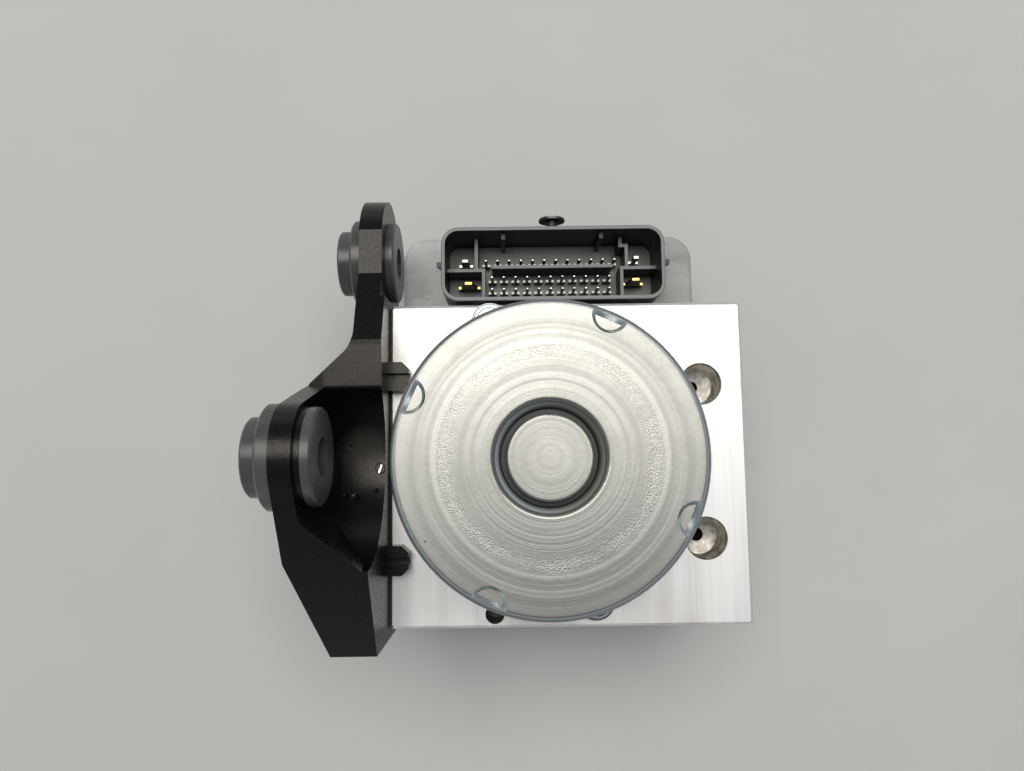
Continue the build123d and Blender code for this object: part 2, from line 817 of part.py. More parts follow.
# ---------------------------------------------------------------- control unit
window_left = valve_spots[0][0] - coil_radius - 0.5
window_right = valve_spots[3][0] + coil_radius + 0.3
window_front = valve_spots[0][1] - coil_radius - 1.0
window_back = valve_spots[8][1] + coil_radius + 1.0
seal_width = 1.2
seal_depth = 1.1
seal_left = window_left - 1.7
seal_right = window_right + 1.6
seal_front = window_front - 1.9
seal_back = sensor_spot[1] + sensor_radius + 4.5
seal_corner = 9.0
tube_radius = 4.6
tube_bore = 3.7
tube_start = 0.4
tube_seat = ecu_height - 8.0
ecu_roof = ecu_height - cover_thickness
power_places = (
    (-26.75, 3.0, 2.2, 4.2),
    (26.15, 3.5, 1.9, 3.0),
    (-25.75, -4.0, 2.6, 6.8),
    (25.85, -3.4, 2.6, 6.4),
)
power_blades = [
    (header_center[0] + x, header_center[1] + y, tip, shoulder)
    for x, y, tip, shoulder in power_places
]
pin_spots = [
    (header_center[0] + start + column * pin_pitch, header_center[1] + row)
    for count, row, start in zip(pin_counts, pin_row_places, pin_row_starts)
    for column in range(count)
]


def rounded(center, length, width, corner):
    """The rounded rectangle of a moulding, drawn on the current sketch."""
    with Locations(center):
        RectangleRounded(length, width, corner)


header_left = header_center[0] - header_length / 2
header_right = header_center[0] + header_length / 2
header_front = header_center[1] - header_width / 2
header_back = header_center[1] + header_width / 2
cavity_length = header_length - 2 * header_wall
cavity_width = header_width - 2 * header_wall
cavity_back = header_back - header_wall

with BuildPart() as ecu_housing:
    with BuildSketch(Plane.XY.offset(cover_thickness)):
        rounded(ecu_center, ecu_length, ecu_width, ecu_corner)
    extrude(amount=ecu_height - cover_thickness)
    fillet(ecu_housing.faces().sort_by(Axis.Z)[-1].edges(), ecu_roof_edge)
    with BuildSketch(Plane.XY.offset(ecu_height)):
        rounded(header_center, header_length, header_width, header_corner)
    extrude(amount=header_height)
    fillet(ecu_housing.faces().sort_by(Axis.Z)[-1].edges(), 0.35)
    with BuildSketch(Plane.XY.offset(cover_thickness)):
        rounded(
            ecu_center,
            ecu_length - 2 * ecu_wall,
            ecu_width - 2 * ecu_wall,
            ecu_corner - ecu_wall,
        )
    extrude(amount=ecu_roof - cover_thickness, mode=Mode.SUBTRACT)
    # socket above its floor, pin chamber below it
    with BuildSketch(Plane.XY.offset(socket_level)):
        rounded(header_center, cavity_length, cavity_width, header_corner - header_wall)
    extrude(amount=socket_depth, mode=Mode.SUBTRACT)
    with BuildSketch(Plane.XY.offset(ecu_roof)):
        rounded(header_center, cavity_length, cavity_width, header_corner - header_wall)
    extrude(amount=socket_level - socket_floor - ecu_roof, mode=Mode.SUBTRACT)
    # window for the valves, with the seal groove round it
    with BuildSketch(Plane.XY.offset(ecu_roof)):
        rounded(
            ((window_left + window_right) / 2, (window_front + window_back) / 2),
            window_right - window_left,
            window_back - window_front,
            coil_radius,
        )
        with Locations(sensor_spot):
            Circle(sensor_radius + 1.0)
        with Locations(terminal_spot):
            Circle(terminal_bore + 0.6)
    extrude(amount=cover_thickness, mode=Mode.SUBTRACT)
    seal_center = ((seal_left + seal_right) / 2, (seal_front + seal_back) / 2)
    groove = seal_width + 2 * seat_gap
    with BuildSketch(Plane.XY.offset(ecu_height - seal_depth)):
        rounded(
            seal_center,
            seal_right - seal_left + groove,
            seal_back - seal_front + groove,
            seal_corner,
        )
        with Locations(seal_center):
            RectangleRounded(
                seal_right - seal_left - groove,
                seal_back - seal_front - groove,
                seal_corner - groove,
                mode=Mode.SUBTRACT,
            )
    extrude(amount=seal_depth, mode=Mode.SUBTRACT)
    # screw tubes from the cover to the block
    with BuildSketch(Plane.XY.offset(tube_start)):
        with Locations(*board_spots):
            Circle(tube_radius)
    extrude(amount=ecu_roof - tube_start)
    with BuildSketch(Plane.XY.offset(tube_start)):
        with Locations(*board_spots):
            Circle(tube_bore)
    extrude(amount=tube_seat - tube_start, mode=Mode.SUBTRACT)
    with BuildSketch(Plane.XY.offset(tube_seat)):
        with Locations(*board_spots):
            Circle(ecu_screw_radius + 0.2)
    extrude(amount=ecu_height - tube_seat, mode=Mode.SUBTRACT)
    # coding walls in the socket, placed from its centre
    end_x = cavity_length / 2
    end_y = cavity_width / 2
    with BuildSketch(Plane.XY.offset(socket_level)):
        for start, end in (
            ((-23.25, 0), (-23.25, end_y)),
            ((-end_x, 0), (-21.05, 0)),
            ((-21.05, -end_y), (-21.05, 0)),
            ((21.25, 7.3), (21.25, end_y)),
            ((21.25, 7.3), (23.15, 7.3)),
            ((23.15, 0.3), (23.15, 7.3)),
            ((21.55, 0.3), (end_x, 0.3)),
            ((21.55, -end_y), (21.55, 0.3)),
            ((-18.05, 1.0), (18.35, 1.0)),
        ):
            middle = (
                header_center[0] + (start[0] + end[0]) / 2,
                header_center[1] + (start[1] + end[1]) / 2,
            )
            with Locations(middle):
                Rectangle(
                    abs(end[0] - start[0]) + partition_wall,
                    abs(end[1] - start[1]) + partition_wall,
                )
    extrude(amount=partition_height)
    # two guide ribs on the back wall
    with BuildSketch(Plane.XY.offset(socket_level)):
        with Locations((header_center[0], cavity_back - key_rib_reach / 2)):
            with GridLocations(29.7, 1, 2, 1):
                Rectangle(key_rib_width, key_rib_reach)
    extrude(amount=socket_depth - key_rib_drop)
    # latch peg with its head on the back wall
    for start, radius, length in (
        (0, peg_radius, peg_length),
        (peg_length, peg_head_radius, peg_head_thickness),
    ):
        with BuildSketch(Plane.XZ.offset(-header_back - start)):
            with Locations((header_center[0], header_rim - peg_drop)):
                Circle(radius)
        extrude(amount=-length)
    # wedge nubs on the end walls
    nub_top = header_rim - nub_drop
    with BuildSketch(Plane.XZ.offset(-header_center[1])):
        for edge, side in ((header_left, -1), (header_right, 1)):
            with BuildLine():
                Polyline(
                    (edge - side * header_wall / 2, nub_top),
                    (edge + side * nub_reach, nub_top),
                    (edge - side * header_wall / 2, nub_top - nub_height),
                    close=True,
                )
            make_face()
    extrude(amount=nub_width / 2, both=True)
finish(ecu_housing, "ecu_housing")

with BuildPart() as ecu_seal:
    with BuildSketch(Plane.XY.offset(ecu_height - seal_depth)):
        rounded(
            seal_center,
            seal_right - seal_left + seal_width,
            seal_back - seal_front + seal_width,
            seal_corner,
        )
        with Locations(seal_center):
            RectangleRounded(
                seal_right - seal_left - seal_width,
                seal_back - seal_front - seal_width,
                seal_corner - seal_width,
                mode=Mode.SUBTRACT,
            )
    extrude(amount=seal_depth)
finish(ecu_seal, "ecu_seal")

with BuildPart() as ecu_cover:
    with BuildSketch():
        rounded(ecu_center, ecu_length, ecu_width, ecu_corner)
    extrude(amount=cover_thickness)
    with BuildSketch(Plane.XY.offset(cover_thickness)):
        rounded(
            ecu_center,
            ecu_length - 2 * ecu_wall - 2 * seat_gap,
            ecu_width - 2 * ecu_wall - 2 * seat_gap,
            ecu_corner - ecu_wall,
        )
        with Locations(ecu_center):
            RectangleRounded(
                ecu_length - 2 * ecu_wall - 3.0,
                ecu_width - 2 * ecu_wall - 3.0,
                ecu_corner - ecu_wall - 1.0,
                mode=Mode.SUBTRACT,
            )
    extrude(amount=cover_lip)
    with BuildSketch():
        with Locations(*board_spots):
            Circle(tube_radius + free_gap)
    extrude(amount=cover_thickness + cover_lip, mode=Mode.SUBTRACT)
finish(ecu_cover, "ecu_cover")

with BuildPart() as ecu_screws:
    with BuildSketch(Plane.XY.offset(tube_seat - ecu_screw_head)):
        with Locations(*board_spots):
            Circle(tube_bore - 0.2)
    extrude(amount=ecu_screw_head)
    with BuildSketch(Plane.XY.offset(tube_seat)):
        with Locations(*board_spots):
            Circle(ecu_screw_radius)
    extrude(amount=ecu_height + ecu_screw_grip - tube_seat)
    with BuildSketch(Plane.XY.offset(tube_seat - ecu_screw_head)):
        with Locations(*board_spots):
            RegularPolygon(1.8, 6)
    extrude(amount=2.0, mode=Mode.SUBTRACT)
finish(ecu_screws, "ecu_screws")

with BuildPart() as circuit_board:
    with BuildSketch(Plane.XY.offset(board_level)):
        rounded(
            ecu_center,
            ecu_length - 2 * ecu_wall - 1.0,
            ecu_width - 2 * ecu_wall - 1.0,
            ecu_corner - ecu_wall,
        )
        with Locations(*board_spots):
            Circle(tube_radius + free_gap, mode=Mode.SUBTRACT)
        with Locations(*pin_spots):
            Rectangle(pin_tail + 0.2, pin_tail + 0.2, mode=Mode.SUBTRACT)
        with Locations(*[blade[:2] for blade in power_blades]):
            Rectangle(blade_tail + 0.2, pin_thickness + 0.2, mode=Mode.SUBTRACT)
        with Locations(terminal_spot):
            with GridLocations(3.6, 1, 2, 1):
                Rectangle(2.6, 1.0, mode=Mode.SUBTRACT)
    extrude(amount=board_thickness)
finish(circuit_board, "circuit_board")

with BuildPart() as circuit_components:
    with BuildSketch(Plane.XY.offset(board_level)):
        with Locations(ecu_center):
            with Locations((17.5, 18.8)):
                Rectangle(18.0, 18.0)
            with Locations((-4.5, -15.2)):
                with GridLocations(20.0, 22.0, 3, 2):
                    Rectangle(9.0, 12.0)
    extrude(amount=-1.8)
    with BuildSketch(Plane.XY.offset(board_level)):
        with Locations(ecu_center):
            with Locations((-34.5, 46.8), (-34.5, 34.8), (35.5, 44.8)):
                Rectangle(8.0, 8.0)
    extrude(amount=-4.5)
finish(circuit_components, "circuit_components")

tail_level = board_level - pin_tail_end
base_level = socket_level - socket_floor
shoulder_level = socket_level + pin_shoulder_height
pin_top = socket_level + pin_height
with BuildPart() as signal_pins:
    for level, end, width, thickness, lean in (
        (tail_level, base_level, pin_tail, pin_tail, 0),
        (base_level, shoulder_level, pin_shoulder, pin_thickness, 0),
        (shoulder_level, pin_top - pin_tip, pin_width, pin_thickness, 0),
        (pin_top - pin_tip, pin_top, pin_width, pin_thickness, 15),
    ):
        with BuildSketch(Plane.XY.offset(level)):
            with Locations(*pin_spots):
                Rectangle(width, thickness)
        extrude(amount=end - level, taper=lean)
finish(signal_pins, "signal_pins")

# power blades: wide shoulders that narrow to the tip
with BuildPart() as power_pins:
    for x, y, tip, shoulder in power_blades:
        with BuildSketch(Plane.XZ.offset(-y)):
            with BuildLine():
                Polyline(
                    (x - blade_tail / 2, tail_level),
                    (x - blade_tail / 2, base_level),
                    (x - shoulder / 2, base_level),
                    (x - shoulder / 2, shoulder_level),
                    (x - (shoulder - 1.6) / 2, shoulder_level),
                    (x - tip / 2, pin_top - pin_tip),
                    (x - (tip - 0.5) / 2, pin_top + 0.3),
                    (x + (tip - 0.5) / 2, pin_top + 0.3),
                    (x + tip / 2, pin_top - pin_tip),
                    (x + (shoulder - 1.6) / 2, shoulder_level),
                    (x + shoulder / 2, shoulder_level),
                    (x + shoulder / 2, base_level),
                    (x + blade_tail / 2, base_level),
                    (x + blade_tail / 2, tail_level),
                    close=True,
                )
            make_face()
        extrude(amount=pin_thickness / 2, both=True)
finish(power_pins, "power_pins")


# ---------------------------------------------------------------- bracket and its bushes
lower_axis_level = block_top + lower_axis[1]
upper_axis_level = block_top + upper_axis[1]
bush_hole_radius = bush_neck + seat_gap
lower_boss_end = bracket_ear_left + bush_neck_length - seat_gap
upper_boss_start = block_left - upper_ear_setback - bush_neck_length + seat_gap
boss_radius_outer = bush_flange - bush_right_step
screw_seat = block_left - bracket_screw_flange
pocket_left = bracket_ear_left + lower_ear_thickness
arm_end = upper_axis[0] + upper_ear_radius + 1
# round pocket beside the motor, closed by a slanting gusset at the front
with BuildPart() as motor_pocket:
    with BuildSketch(Plane.YZ.offset(pocket_left)):
        with Locations((lower_axis[0], lower_axis_level)):
            Circle(pocket_radius)
        with Locations((lower_axis[0], lower_axis_level + pocket_radius / 2)):
            Rectangle(2 * pocket_radius, pocket_radius)
    extrude(amount=block_left + 1 - pocket_left)
    with BuildSketch(Plane.XY.offset(block_top)) as pocket_plan:
        with BuildLine():
            Polyline(
                (pocket_left, pocket_back),
                (pocket_left, pocket_front_left),
                (block_left + 1, pocket_front_right),
                (block_left + 1, pocket_back),
                close=True,
            )
        make_face()
        inner_corner = pocket_plan.vertices().sort_by_distance((pocket_left, pocket_front_left, 0))[0]
        fillet(inner_corner, pocket_blend)
    extrude(amount=motor_height + 2 * cut_over, mode=Mode.INTERSECT)

with BuildPart() as mounting_bracket:
    side_plane = Plane.YZ.offset(bracket_ear_left)
    with BuildSketch(side_plane):
        # lower ear, drawn down to the body
        with BuildLine():
            CenterArc((lower_axis[0], lower_axis_level), lower_ear_radius, 0, 360)
            Polyline(
                (gusset_front[0], block_top + gusset_front[1]),
                (bracket_front, block_top + bracket_front_rise),
                (bracket_front, block_top),
                (gusset_front[0], block_top),
                close=True,
            )
        make_hull()
        # upper ear, trimmed flat at the facet
        with Locations((upper_axis[0], upper_axis_level)):
            Circle(upper_ear_radius)
        with Locations((upper_axis[0], block_top + facet_level + cut_over)):
            Rectangle(2 * upper_ear_radius, 2 * cut_over, mode=Mode.SUBTRACT)
        # body and arm
        with BuildLine():
            Polyline(
                (upper_axis[0] + facet_back, block_top + facet_level),
                (upper_axis[0] + facet_front, block_top + facet_level),
                (gusset_back[0], block_top + gusset_back[1]),
                (gusset_front[0], block_top + gusset_front[1]),
                (bracket_front, block_top + bracket_front_rise),
                (bracket_front, block_top + bracket_low),
                (body_low_end, block_top + bracket_low),
                (arm_low_start, block_top + arm_low),
                (upper_axis[0], block_top + arm_low),
                close=True,
            )
        make_face()
    extrude(amount=block_left - bracket_ear_left)
    # outline seen from above: thin arm towards the header, thick body beside the motor
    with BuildSketch() as plan:
        with BuildLine():
            Polyline(
                (block_left, arm_end),
                (bracket_arm_left, arm_end),
                (bracket_arm_left, arm_root),
                (bracket_ear_left, gusset_front[0]),
                (bracket_ear_left, ear_front),
                (bracket_end_left, bracket_front),
                (block_left, bracket_front),
                close=True,
            )
        make_face()
        for corner, radius in (
            ((bracket_arm_left, arm_root), arm_blend),
            ((bracket_ear_left, gusset_front[0]), ear_blend),
            ((bracket_ear_left, ear_front), ear_blend),
        ):
            fillet(plan.vertices().sort_by_distance((*corner, 0))[0], radius)
    extrude(amount=motor_top + cut_over, mode=Mode.INTERSECT)
    # outline seen from the front: the body leans outwards above the block
    with BuildSketch(Plane.XZ.offset(cut_over - block_front)) as front_outline:
        with BuildLine():
            Polyline(
                (block_left, block_top + bracket_low),
                (bracket_arm_left, block_top + bracket_low),
                (bracket_arm_left, block_top + lean_low),
                (bracket_ear_left, block_top + lean_high),
                (bracket_ear_left, motor_top + cut_over),
                (block_left, motor_top + cut_over),
                close=True,
            )
        make_face()
        lean_corner = (bracket_arm_left, block_top + lean_low, 0)
        fillet(front_outline.vertices().sort_by_distance(lean_corner)[0], lean_blend)
    extrude(amount=block_front - arm_end - 2 * cut_over, mode=Mode.INTERSECT)
    add(motor_pocket.part, mode=Mode.SUBTRACT)
    # the upper ear stands clear of the block's plane
    relief_start = block_back + upper_ear_relief
    with BuildSketch(Plane.YZ.offset(block_left)):
        with Locations(((relief_start + arm_end) / 2, block_top)):
            Rectangle(arm_end - relief_start, 2 * block_height)
    extrude(amount=-upper_ear_setback, mode=Mode.SUBTRACT)
    # bosses round the bush holes
    with BuildSketch(Plane.YZ.offset(pocket_left)):
        with Locations((lower_axis[0], lower_axis_level)):
            Circle(boss_radius_outer)
    extrude(amount=lower_boss_end - pocket_left)
    with BuildSketch(Plane.YZ.offset(bracket_arm_left)):
        with Locations((upper_axis[0], upper_axis_level)):
            Circle(boss_radius_outer)
    extrude(amount=upper_boss_start - bracket_arm_left)
    with BuildSketch(side_plane):
        with Locations((lower_axis[0], lower_axis_level), (upper_axis[0], upper_axis_level)):
            Circle(bush_hole_radius)
    extrude(amount=block_left - bracket_ear_left, mode=Mode.SUBTRACT)
    # spot faces and holes of the three screws into the block
    with BuildSketch(Plane.YZ.offset(screw_seat)):
        with Locations(*bracket_screw_spots):
            Circle(bracket_screw_head + spot_face_gap)
    extrude(amount=bracket_ear_left - screw_seat, mode=Mode.SUBTRACT)
    with BuildSketch(Plane.YZ.offset(screw_seat)):
        with Locations(*bracket_screw_spots):
            Circle(bracket_screw_radius + seat_gap)
    extrude(amount=block_left - screw_seat, mode=Mode.SUBTRACT)
    # two grooved lugs that reach over the top of the block
    for spot in lug_spots:
        with BuildSketch(Plane.XY.offset(block_top)) as lug:
            with Locations((block_left + (lug_reach - lug_root) / 2, spot)):
                Rectangle(lug_reach + lug_root, lug_width)
            chamfer(lug.vertices().sort_by(Axis.X)[-2:], lug_chamfer)
        extrude(amount=lug_height)
        with BuildSketch(Plane.XY.offset(block_top + lug_height)):
            with Locations((block_left + lug_reach / 2, spot)):
                Rectangle(lug_reach, lug_groove_width)
        extrude(amount=-lug_groove_depth, mode=Mode.SUBTRACT)
finish(mounting_bracket, "mounting_bracket")

with BuildPart() as bracket_screws:
    with BuildSketch(Plane.YZ.offset(screw_seat)):
        with Locations(*bracket_screw_spots):
            Circle(bracket_screw_head)
            RegularPolygon(2.4, 6, mode=Mode.SUBTRACT)
    extrude(amount=-3.2)
    with BuildSketch(Plane.YZ.offset(screw_seat - 1.2)):
        with Locations(*bracket_screw_spots):
            Circle(bracket_screw_radius)
    extrude(amount=block_left + bracket_screw_grip - screw_seat + 1.2)
finish(bracket_screws, "bracket_screws")


def bush(axis_spot, neck_start):
    """A rubber bush with its nose to the left: nose, flange, neck and inner flange."""
    neck_end = neck_start + bush_neck_length
    bush_end = neck_end + bush_flange_right
    flange_start = neck_start - bush_flange_left
    nose_start = flange_start - bush_nose_length
    with BuildPart() as rubber:
        with BuildSketch():
            with BuildLine():
                Polyline(
                    (nose_start, bush_hole),
                    (nose_start, bush_nose - bush_nose_edge),
                    (nose_start + bush_nose_edge, bush_nose),
                    (flange_start, bush_nose),
                    (flange_start, bush_flange - bush_flange_edge),
                    (flange_start + bush_flange_edge, bush_flange),
                    (neck_start, bush_flange),
                    (neck_start, bush_neck),
                    (neck_end, bush_neck),
                    (neck_end, boss_radius_outer),
                    (bush_end - bush_right_edge, boss_radius_outer),
                    (bush_end, boss_radius_outer - bush_right_edge),
                    (bush_end, bush_hole),
                    close=True,
                )
            make_face()
        revolve(axis=Axis.X)
    rubber.part.position = (0, axis_spot[0], block_top + axis_spot[1])
    return rubber


finish(bush(lower_axis, bracket_ear_left), "bracket_bush_lower")
finish(bush(upper_axis, upper_boss_start - seat_gap), "bracket_bush_upper")
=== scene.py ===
"""Finishes, port threads, accumulator springs and studio of an anti-lock brake module."""

from math import cos, pi, radians, sin

import bpy
from mathutils import Matrix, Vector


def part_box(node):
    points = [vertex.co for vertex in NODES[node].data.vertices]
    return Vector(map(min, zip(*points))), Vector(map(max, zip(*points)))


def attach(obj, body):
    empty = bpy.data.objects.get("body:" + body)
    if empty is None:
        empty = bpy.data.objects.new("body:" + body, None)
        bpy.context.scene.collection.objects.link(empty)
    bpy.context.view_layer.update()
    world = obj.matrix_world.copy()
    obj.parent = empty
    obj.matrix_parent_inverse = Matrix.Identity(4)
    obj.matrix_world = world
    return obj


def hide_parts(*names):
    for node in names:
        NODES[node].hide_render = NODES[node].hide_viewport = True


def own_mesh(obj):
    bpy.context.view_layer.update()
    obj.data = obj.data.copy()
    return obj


bl_info = {
    "name": "Brake module dressing",
    "version": (1, 0, 0),
    "blender": (4, 5, 0),
    "location": "View3D > Sidebar > Brake module",
    "description": "Finishes and small fittings of an anti-lock brake module",
    "category": "Object",
}

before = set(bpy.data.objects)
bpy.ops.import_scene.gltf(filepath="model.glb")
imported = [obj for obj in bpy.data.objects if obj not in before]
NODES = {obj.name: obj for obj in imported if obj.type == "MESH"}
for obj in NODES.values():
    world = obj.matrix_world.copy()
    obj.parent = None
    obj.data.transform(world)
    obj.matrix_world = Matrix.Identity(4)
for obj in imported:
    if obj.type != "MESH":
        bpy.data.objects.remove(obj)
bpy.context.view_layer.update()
BODY = "module"
FINISHES = {}

# the block; every length is in metres
BLOCK_LOW, BLOCK_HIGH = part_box("hydraulic_block")
BLOCK_TOP = BLOCK_HIGH.z
LINE_PORTS = ((0.0453, -0.0225), (0.0453, 0.0205))
PORT_RADIUS = 0.00595
PORT_DEPTH = 0.0108
PORT_MARGIN = 0.0001
BORE_OIL_AND_SHADE_START = 0.0005  # how far down a port its darker colour, an oil film with painted shade, starts
DRILL_START = PORT_DEPTH + 0.0012
DRILL_RADIUS = 0.0019
SPARE_HOLE = (-0.0135, BLOCK_LOW.y + 0.0037)
SPARE_RADIUS = 0.00265
SPARE_START = 0.0006
WHEEL_PORT_MIDDLE = 0.0075
WHEEL_PORT_PITCH = 0.021
WHEEL_PORT_LEVEL = 0.0595
WHEEL_PORTS = [
    (WHEEL_PORT_MIDDLE + (i - 1.5) * WHEEL_PORT_PITCH, WHEEL_PORT_LEVEL) for i in range(4)
]
WHEEL_RADIUS = 0.0047
THREAD_START = 0.0015
THREAD_TURNS = 8
RIDGE_SIZE = 0.42  # radius of the ridge's triangle, as a share of the pitch
RIDGE_SINK = 0.25  # its middle's distance from the wall, as a share of the pitch
RIDGE_SEAT = 0.00002  # how far the ridge keeps off the wall

# the motor can and its screws
MOTOR_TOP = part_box("motor_can")[1].z
BOSS_EDGE = 0.0108
GROOVE_EDGE = 0.0150
GROOVE_START = 0.0006
DULL_RINGS = ((0.0189, 0.00015, 0.0006), (0.0168, 0.00010, 0.0005))  # radius, half, fade
PEEL_RADIUS = 0.0231
BRIGHT_RADIUS = 0.0254
END_STEP = 0.0282  # the end face slopes down past this radius
END_SLOPE = 0.0016
END_STEP_LEAN = 8.0
DENT_RADIUS = 0.0323
DENT_DEPTH = 0.0006
RIM_RADIUS = 0.0341
CAN_SPOT = (-0.0270, -0.0175, MOTOR_TOP)
SCREW_CIRCLE = 0.0412
SCREW_ANGLE = 110
SCREW_SHADE_RADII = (0.00485, 0.00440, 0.0034)  # radii of the painted shade lines on flange and head

# the bracket
GUSSET = (-0.0495, 0.0251, 0.0895)
GUSSET_HALF = (0.0078, 0.0052, 0.0008)
GUSSET_FADE = (0.0012, 0.0010, 0.0003)
# the gusset box and the pocket spot below carry a painted sheen on the black paint
POCKET = (-0.0475, 0.0015, 0.0820)
POCKET_SHEEN = (0.0025, 0.0095)  # full within the first radius, none past the second
NICK = (-0.0439, -0.0021, 0.0822)
NICK_LEAN = 0.33  # slant of the bare streak, x over y
PITS = (  # place, radius
    ((-0.0529, -0.0091, 0.0840), 0.0007),
    ((-0.0502, -0.0097, 0.0842), 0.0012),
    ((-0.0450, -0.0079, 0.0835), 0.0009),
    ((-0.0520, 0.0040, 0.0822), 0.0006),
)

# the control unit
ECU_ROOF = BLOCK_LOW.z
HEADER_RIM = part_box("ecu_housing")[1].z
HEADER_CENTER = (0.00475, 0.0582)
HEADER_HALF = (0.0321, 0.0099)
SOCKET_FLOOR = 0.049
PARTITION_TOP = 0.0588
PIN_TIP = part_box("signal_pins")[1].z
PIN_SHOULDER = PIN_TIP - 0.0063
TIN_ROW = 0.058  # power pins past this line are tinned

# springs
SPRING_TURNS = 4
WINDING_STEPS = 40
SMOOTH_ANGLE = radians(35)

# the studio
FLOOR_SIZE = 6.0
FLOOR_LEVEL = -0.0002
SOFTBOX_SIZE = (1.6, 1.1)
SOFTBOX_PLACE = (-0.05, 0.64, 2.0)
SENSOR_WIDTH = 36.0
LENS = 27.07
EYE = (-0.00831, -0.00126, 0.29155)
EYE_TILT = radians(5.80)
EYE_TURN = radians(-0.76)


# ------------------------------------------------------------------ shader kit
class Value:
    """A shader socket that can be added, multiplied and compared like a number."""

    def __init__(self, kit, socket):
        self.kit = kit
        self.socket = socket

    def math(self, operation, first, second=None):
        inputs = {0: first}
        if second is not None:
            inputs[1] = second
        return self.kit.node("ShaderNodeMath", {"operation": operation}, inputs)

    def __add__(self, other):
        return self.math("ADD", self, other)

    __radd__ = __add__

    def __mul__(self, other):
        return self.math("MULTIPLY", self, other)

    __rmul__ = __mul__

    def __sub__(self, other):
        return self.math("SUBTRACT", self, other)

    def __rsub__(self, other):
        return self.math("SUBTRACT", other, self)

    def __abs__(self):
        return self.math("ABSOLUTE", self)

    def above(self, other):
        return self.math("GREATER_THAN", self, other)

    def power(self, other):
        return self.math("POWER", self, other)

    def greater(self, other):
        return self.math("MAXIMUM", self, other)


class NodeKit:
    """Adds nodes to a tree and gives their outputs back as values."""

    def __init__(self, tree):
        self.tree = tree

    def node(self, kind, settings=None, inputs=None, output=0):
        """Adds a node: its settings first, then the values or links of its sockets."""
        made = self.tree.nodes.new(kind)
        for key, value in (settings or {}).items():
            if key == "stops":
                ramp = made.color_ramp
                while len(ramp.elements) < len(value):
                    ramp.elements.new(1.0)
                for element, (place, shade) in zip(ramp.elements, value):
                    element.position = place
                    element.color = (shade, shade, shade, 1.0)
            else:
                setattr(made, key, value)
        for key, value in (inputs or {}).items():
            if isinstance(value, Value):
                self.tree.links.new(value.socket, made.inputs[key])
            else:
                made.inputs[key].default_value = value
        return Value(self, made.outputs[output])

    def step(self, value, low, high):
        """0 below low, 1 above high."""
        return self.node(
            "ShaderNodeMapRange",
            {"interpolation_type": "SMOOTHSTEP"},
            {0: value, 1: low, 2: high, 3: 0.0, 4: 1.0},
        )

    def blend(self, factor, first, second):
        def shade(item):
            return item if isinstance(item, Value) else (*item, 1.0)

        return self.node(
            "ShaderNodeMix",
            {"data_type": "RGBA"},
            {0: factor, 6: shade(first), 7: shade(second)},
            output=2,
        )


class Finish(NodeKit):
    """A material: a principled surface and the nodes that vary it."""

    def __init__(self, name, color, roughness, metallic=0.0, sockets=None):
        self.material = bpy.data.materials.new(name)
        self.material.use_nodes = True
        self.material.diffuse_color = (*color, 1.0)
        super().__init__(self.material.node_tree)
        self.surface = self.tree.nodes["Principled BSDF"]
        self.surface.inputs["Base Color"].default_value = (*color, 1.0)
        self.surface.inputs["Roughness"].default_value = roughness
        self.surface.inputs["Metallic"].default_value = metallic
        for label, value in (sockets or {}).items():
            self.surface.inputs[label].default_value = value

    def place(self):
        return self.node("ShaderNodeTexCoord", output="Object")

    def axes(self):
        split = self.node("ShaderNodeSeparateXYZ", inputs={0: self.place()})
        outputs = split.socket.node.outputs
        return [Value(self, outputs[i]) for i in range(3)]

    def stretched(self, scale):
        return self.node("ShaderNodeMapping", inputs={"Vector": self.place(), "Scale": scale})

    def noise(self, scale, detail=2.0, rough=0.5, vector=None):
        return self.node(
            "ShaderNodeTexNoise",
            inputs={
                "Vector": vector or self.place(),
                "Scale": scale,
                "Detail": detail,
                "Roughness": rough,
            },
        )

    def rings(self, radius, scale, detail, rough):
        """Noise that changes with the radius alone."""
        return self.node(
            "ShaderNodeTexNoise",
            {"noise_dimensions": "1D"},
            {"W": radius, "Scale": scale, "Detail": detail, "Roughness": rough},
        )

    def cells(self, scale, feature):
        return self.node(
            "ShaderNodeTexVoronoi", {"feature": feature}, {"Vector": self.place(), "Scale": scale}
        )

    def flat(self, x, y):
        return self.node("ShaderNodeCombineXYZ", inputs={0: x, 1: y})

    def ramp(self, factor, *stops):
        return self.node("ShaderNodeValToRGB", {"stops": stops}, {0: factor})

    def band(self, value, center, half, soft):
        """1 where the value is within half of center, fading out over soft."""
        reach = abs(value - center)
        return self.node(
            "ShaderNodeMapRange",
            {"interpolation_type": "SMOOTHSTEP"},
            {0: reach, 1: half, 2: half + soft, 3: 1.0, 4: 0.0},
        )

    def distance(self, point, vector=None):
        return self.node(
            "ShaderNodeVectorMath",
            {"operation": "DISTANCE"},
            {0: vector or self.place(), 1: point},
            output=1,
        )

    def spot(self, point, inner, outer):
        """1 within inner of the point, 0 past outer."""
        return 1 - self.step(self.distance(point), inner, outer)

    def set(self, socket, value):
        self.tree.links.new(value.socket, self.surface.inputs[socket])

    def bump(self, height, strength, distance):
        normal = self.node(
            "ShaderNodeBump", inputs={"Height": height, "Strength": strength, "Distance": distance}
        )
        self.set("Normal", normal)

    def apply(self, *objects):
        for thing in objects:
            thing.data.materials.clear()
            thing.data.materials.append(self.material)


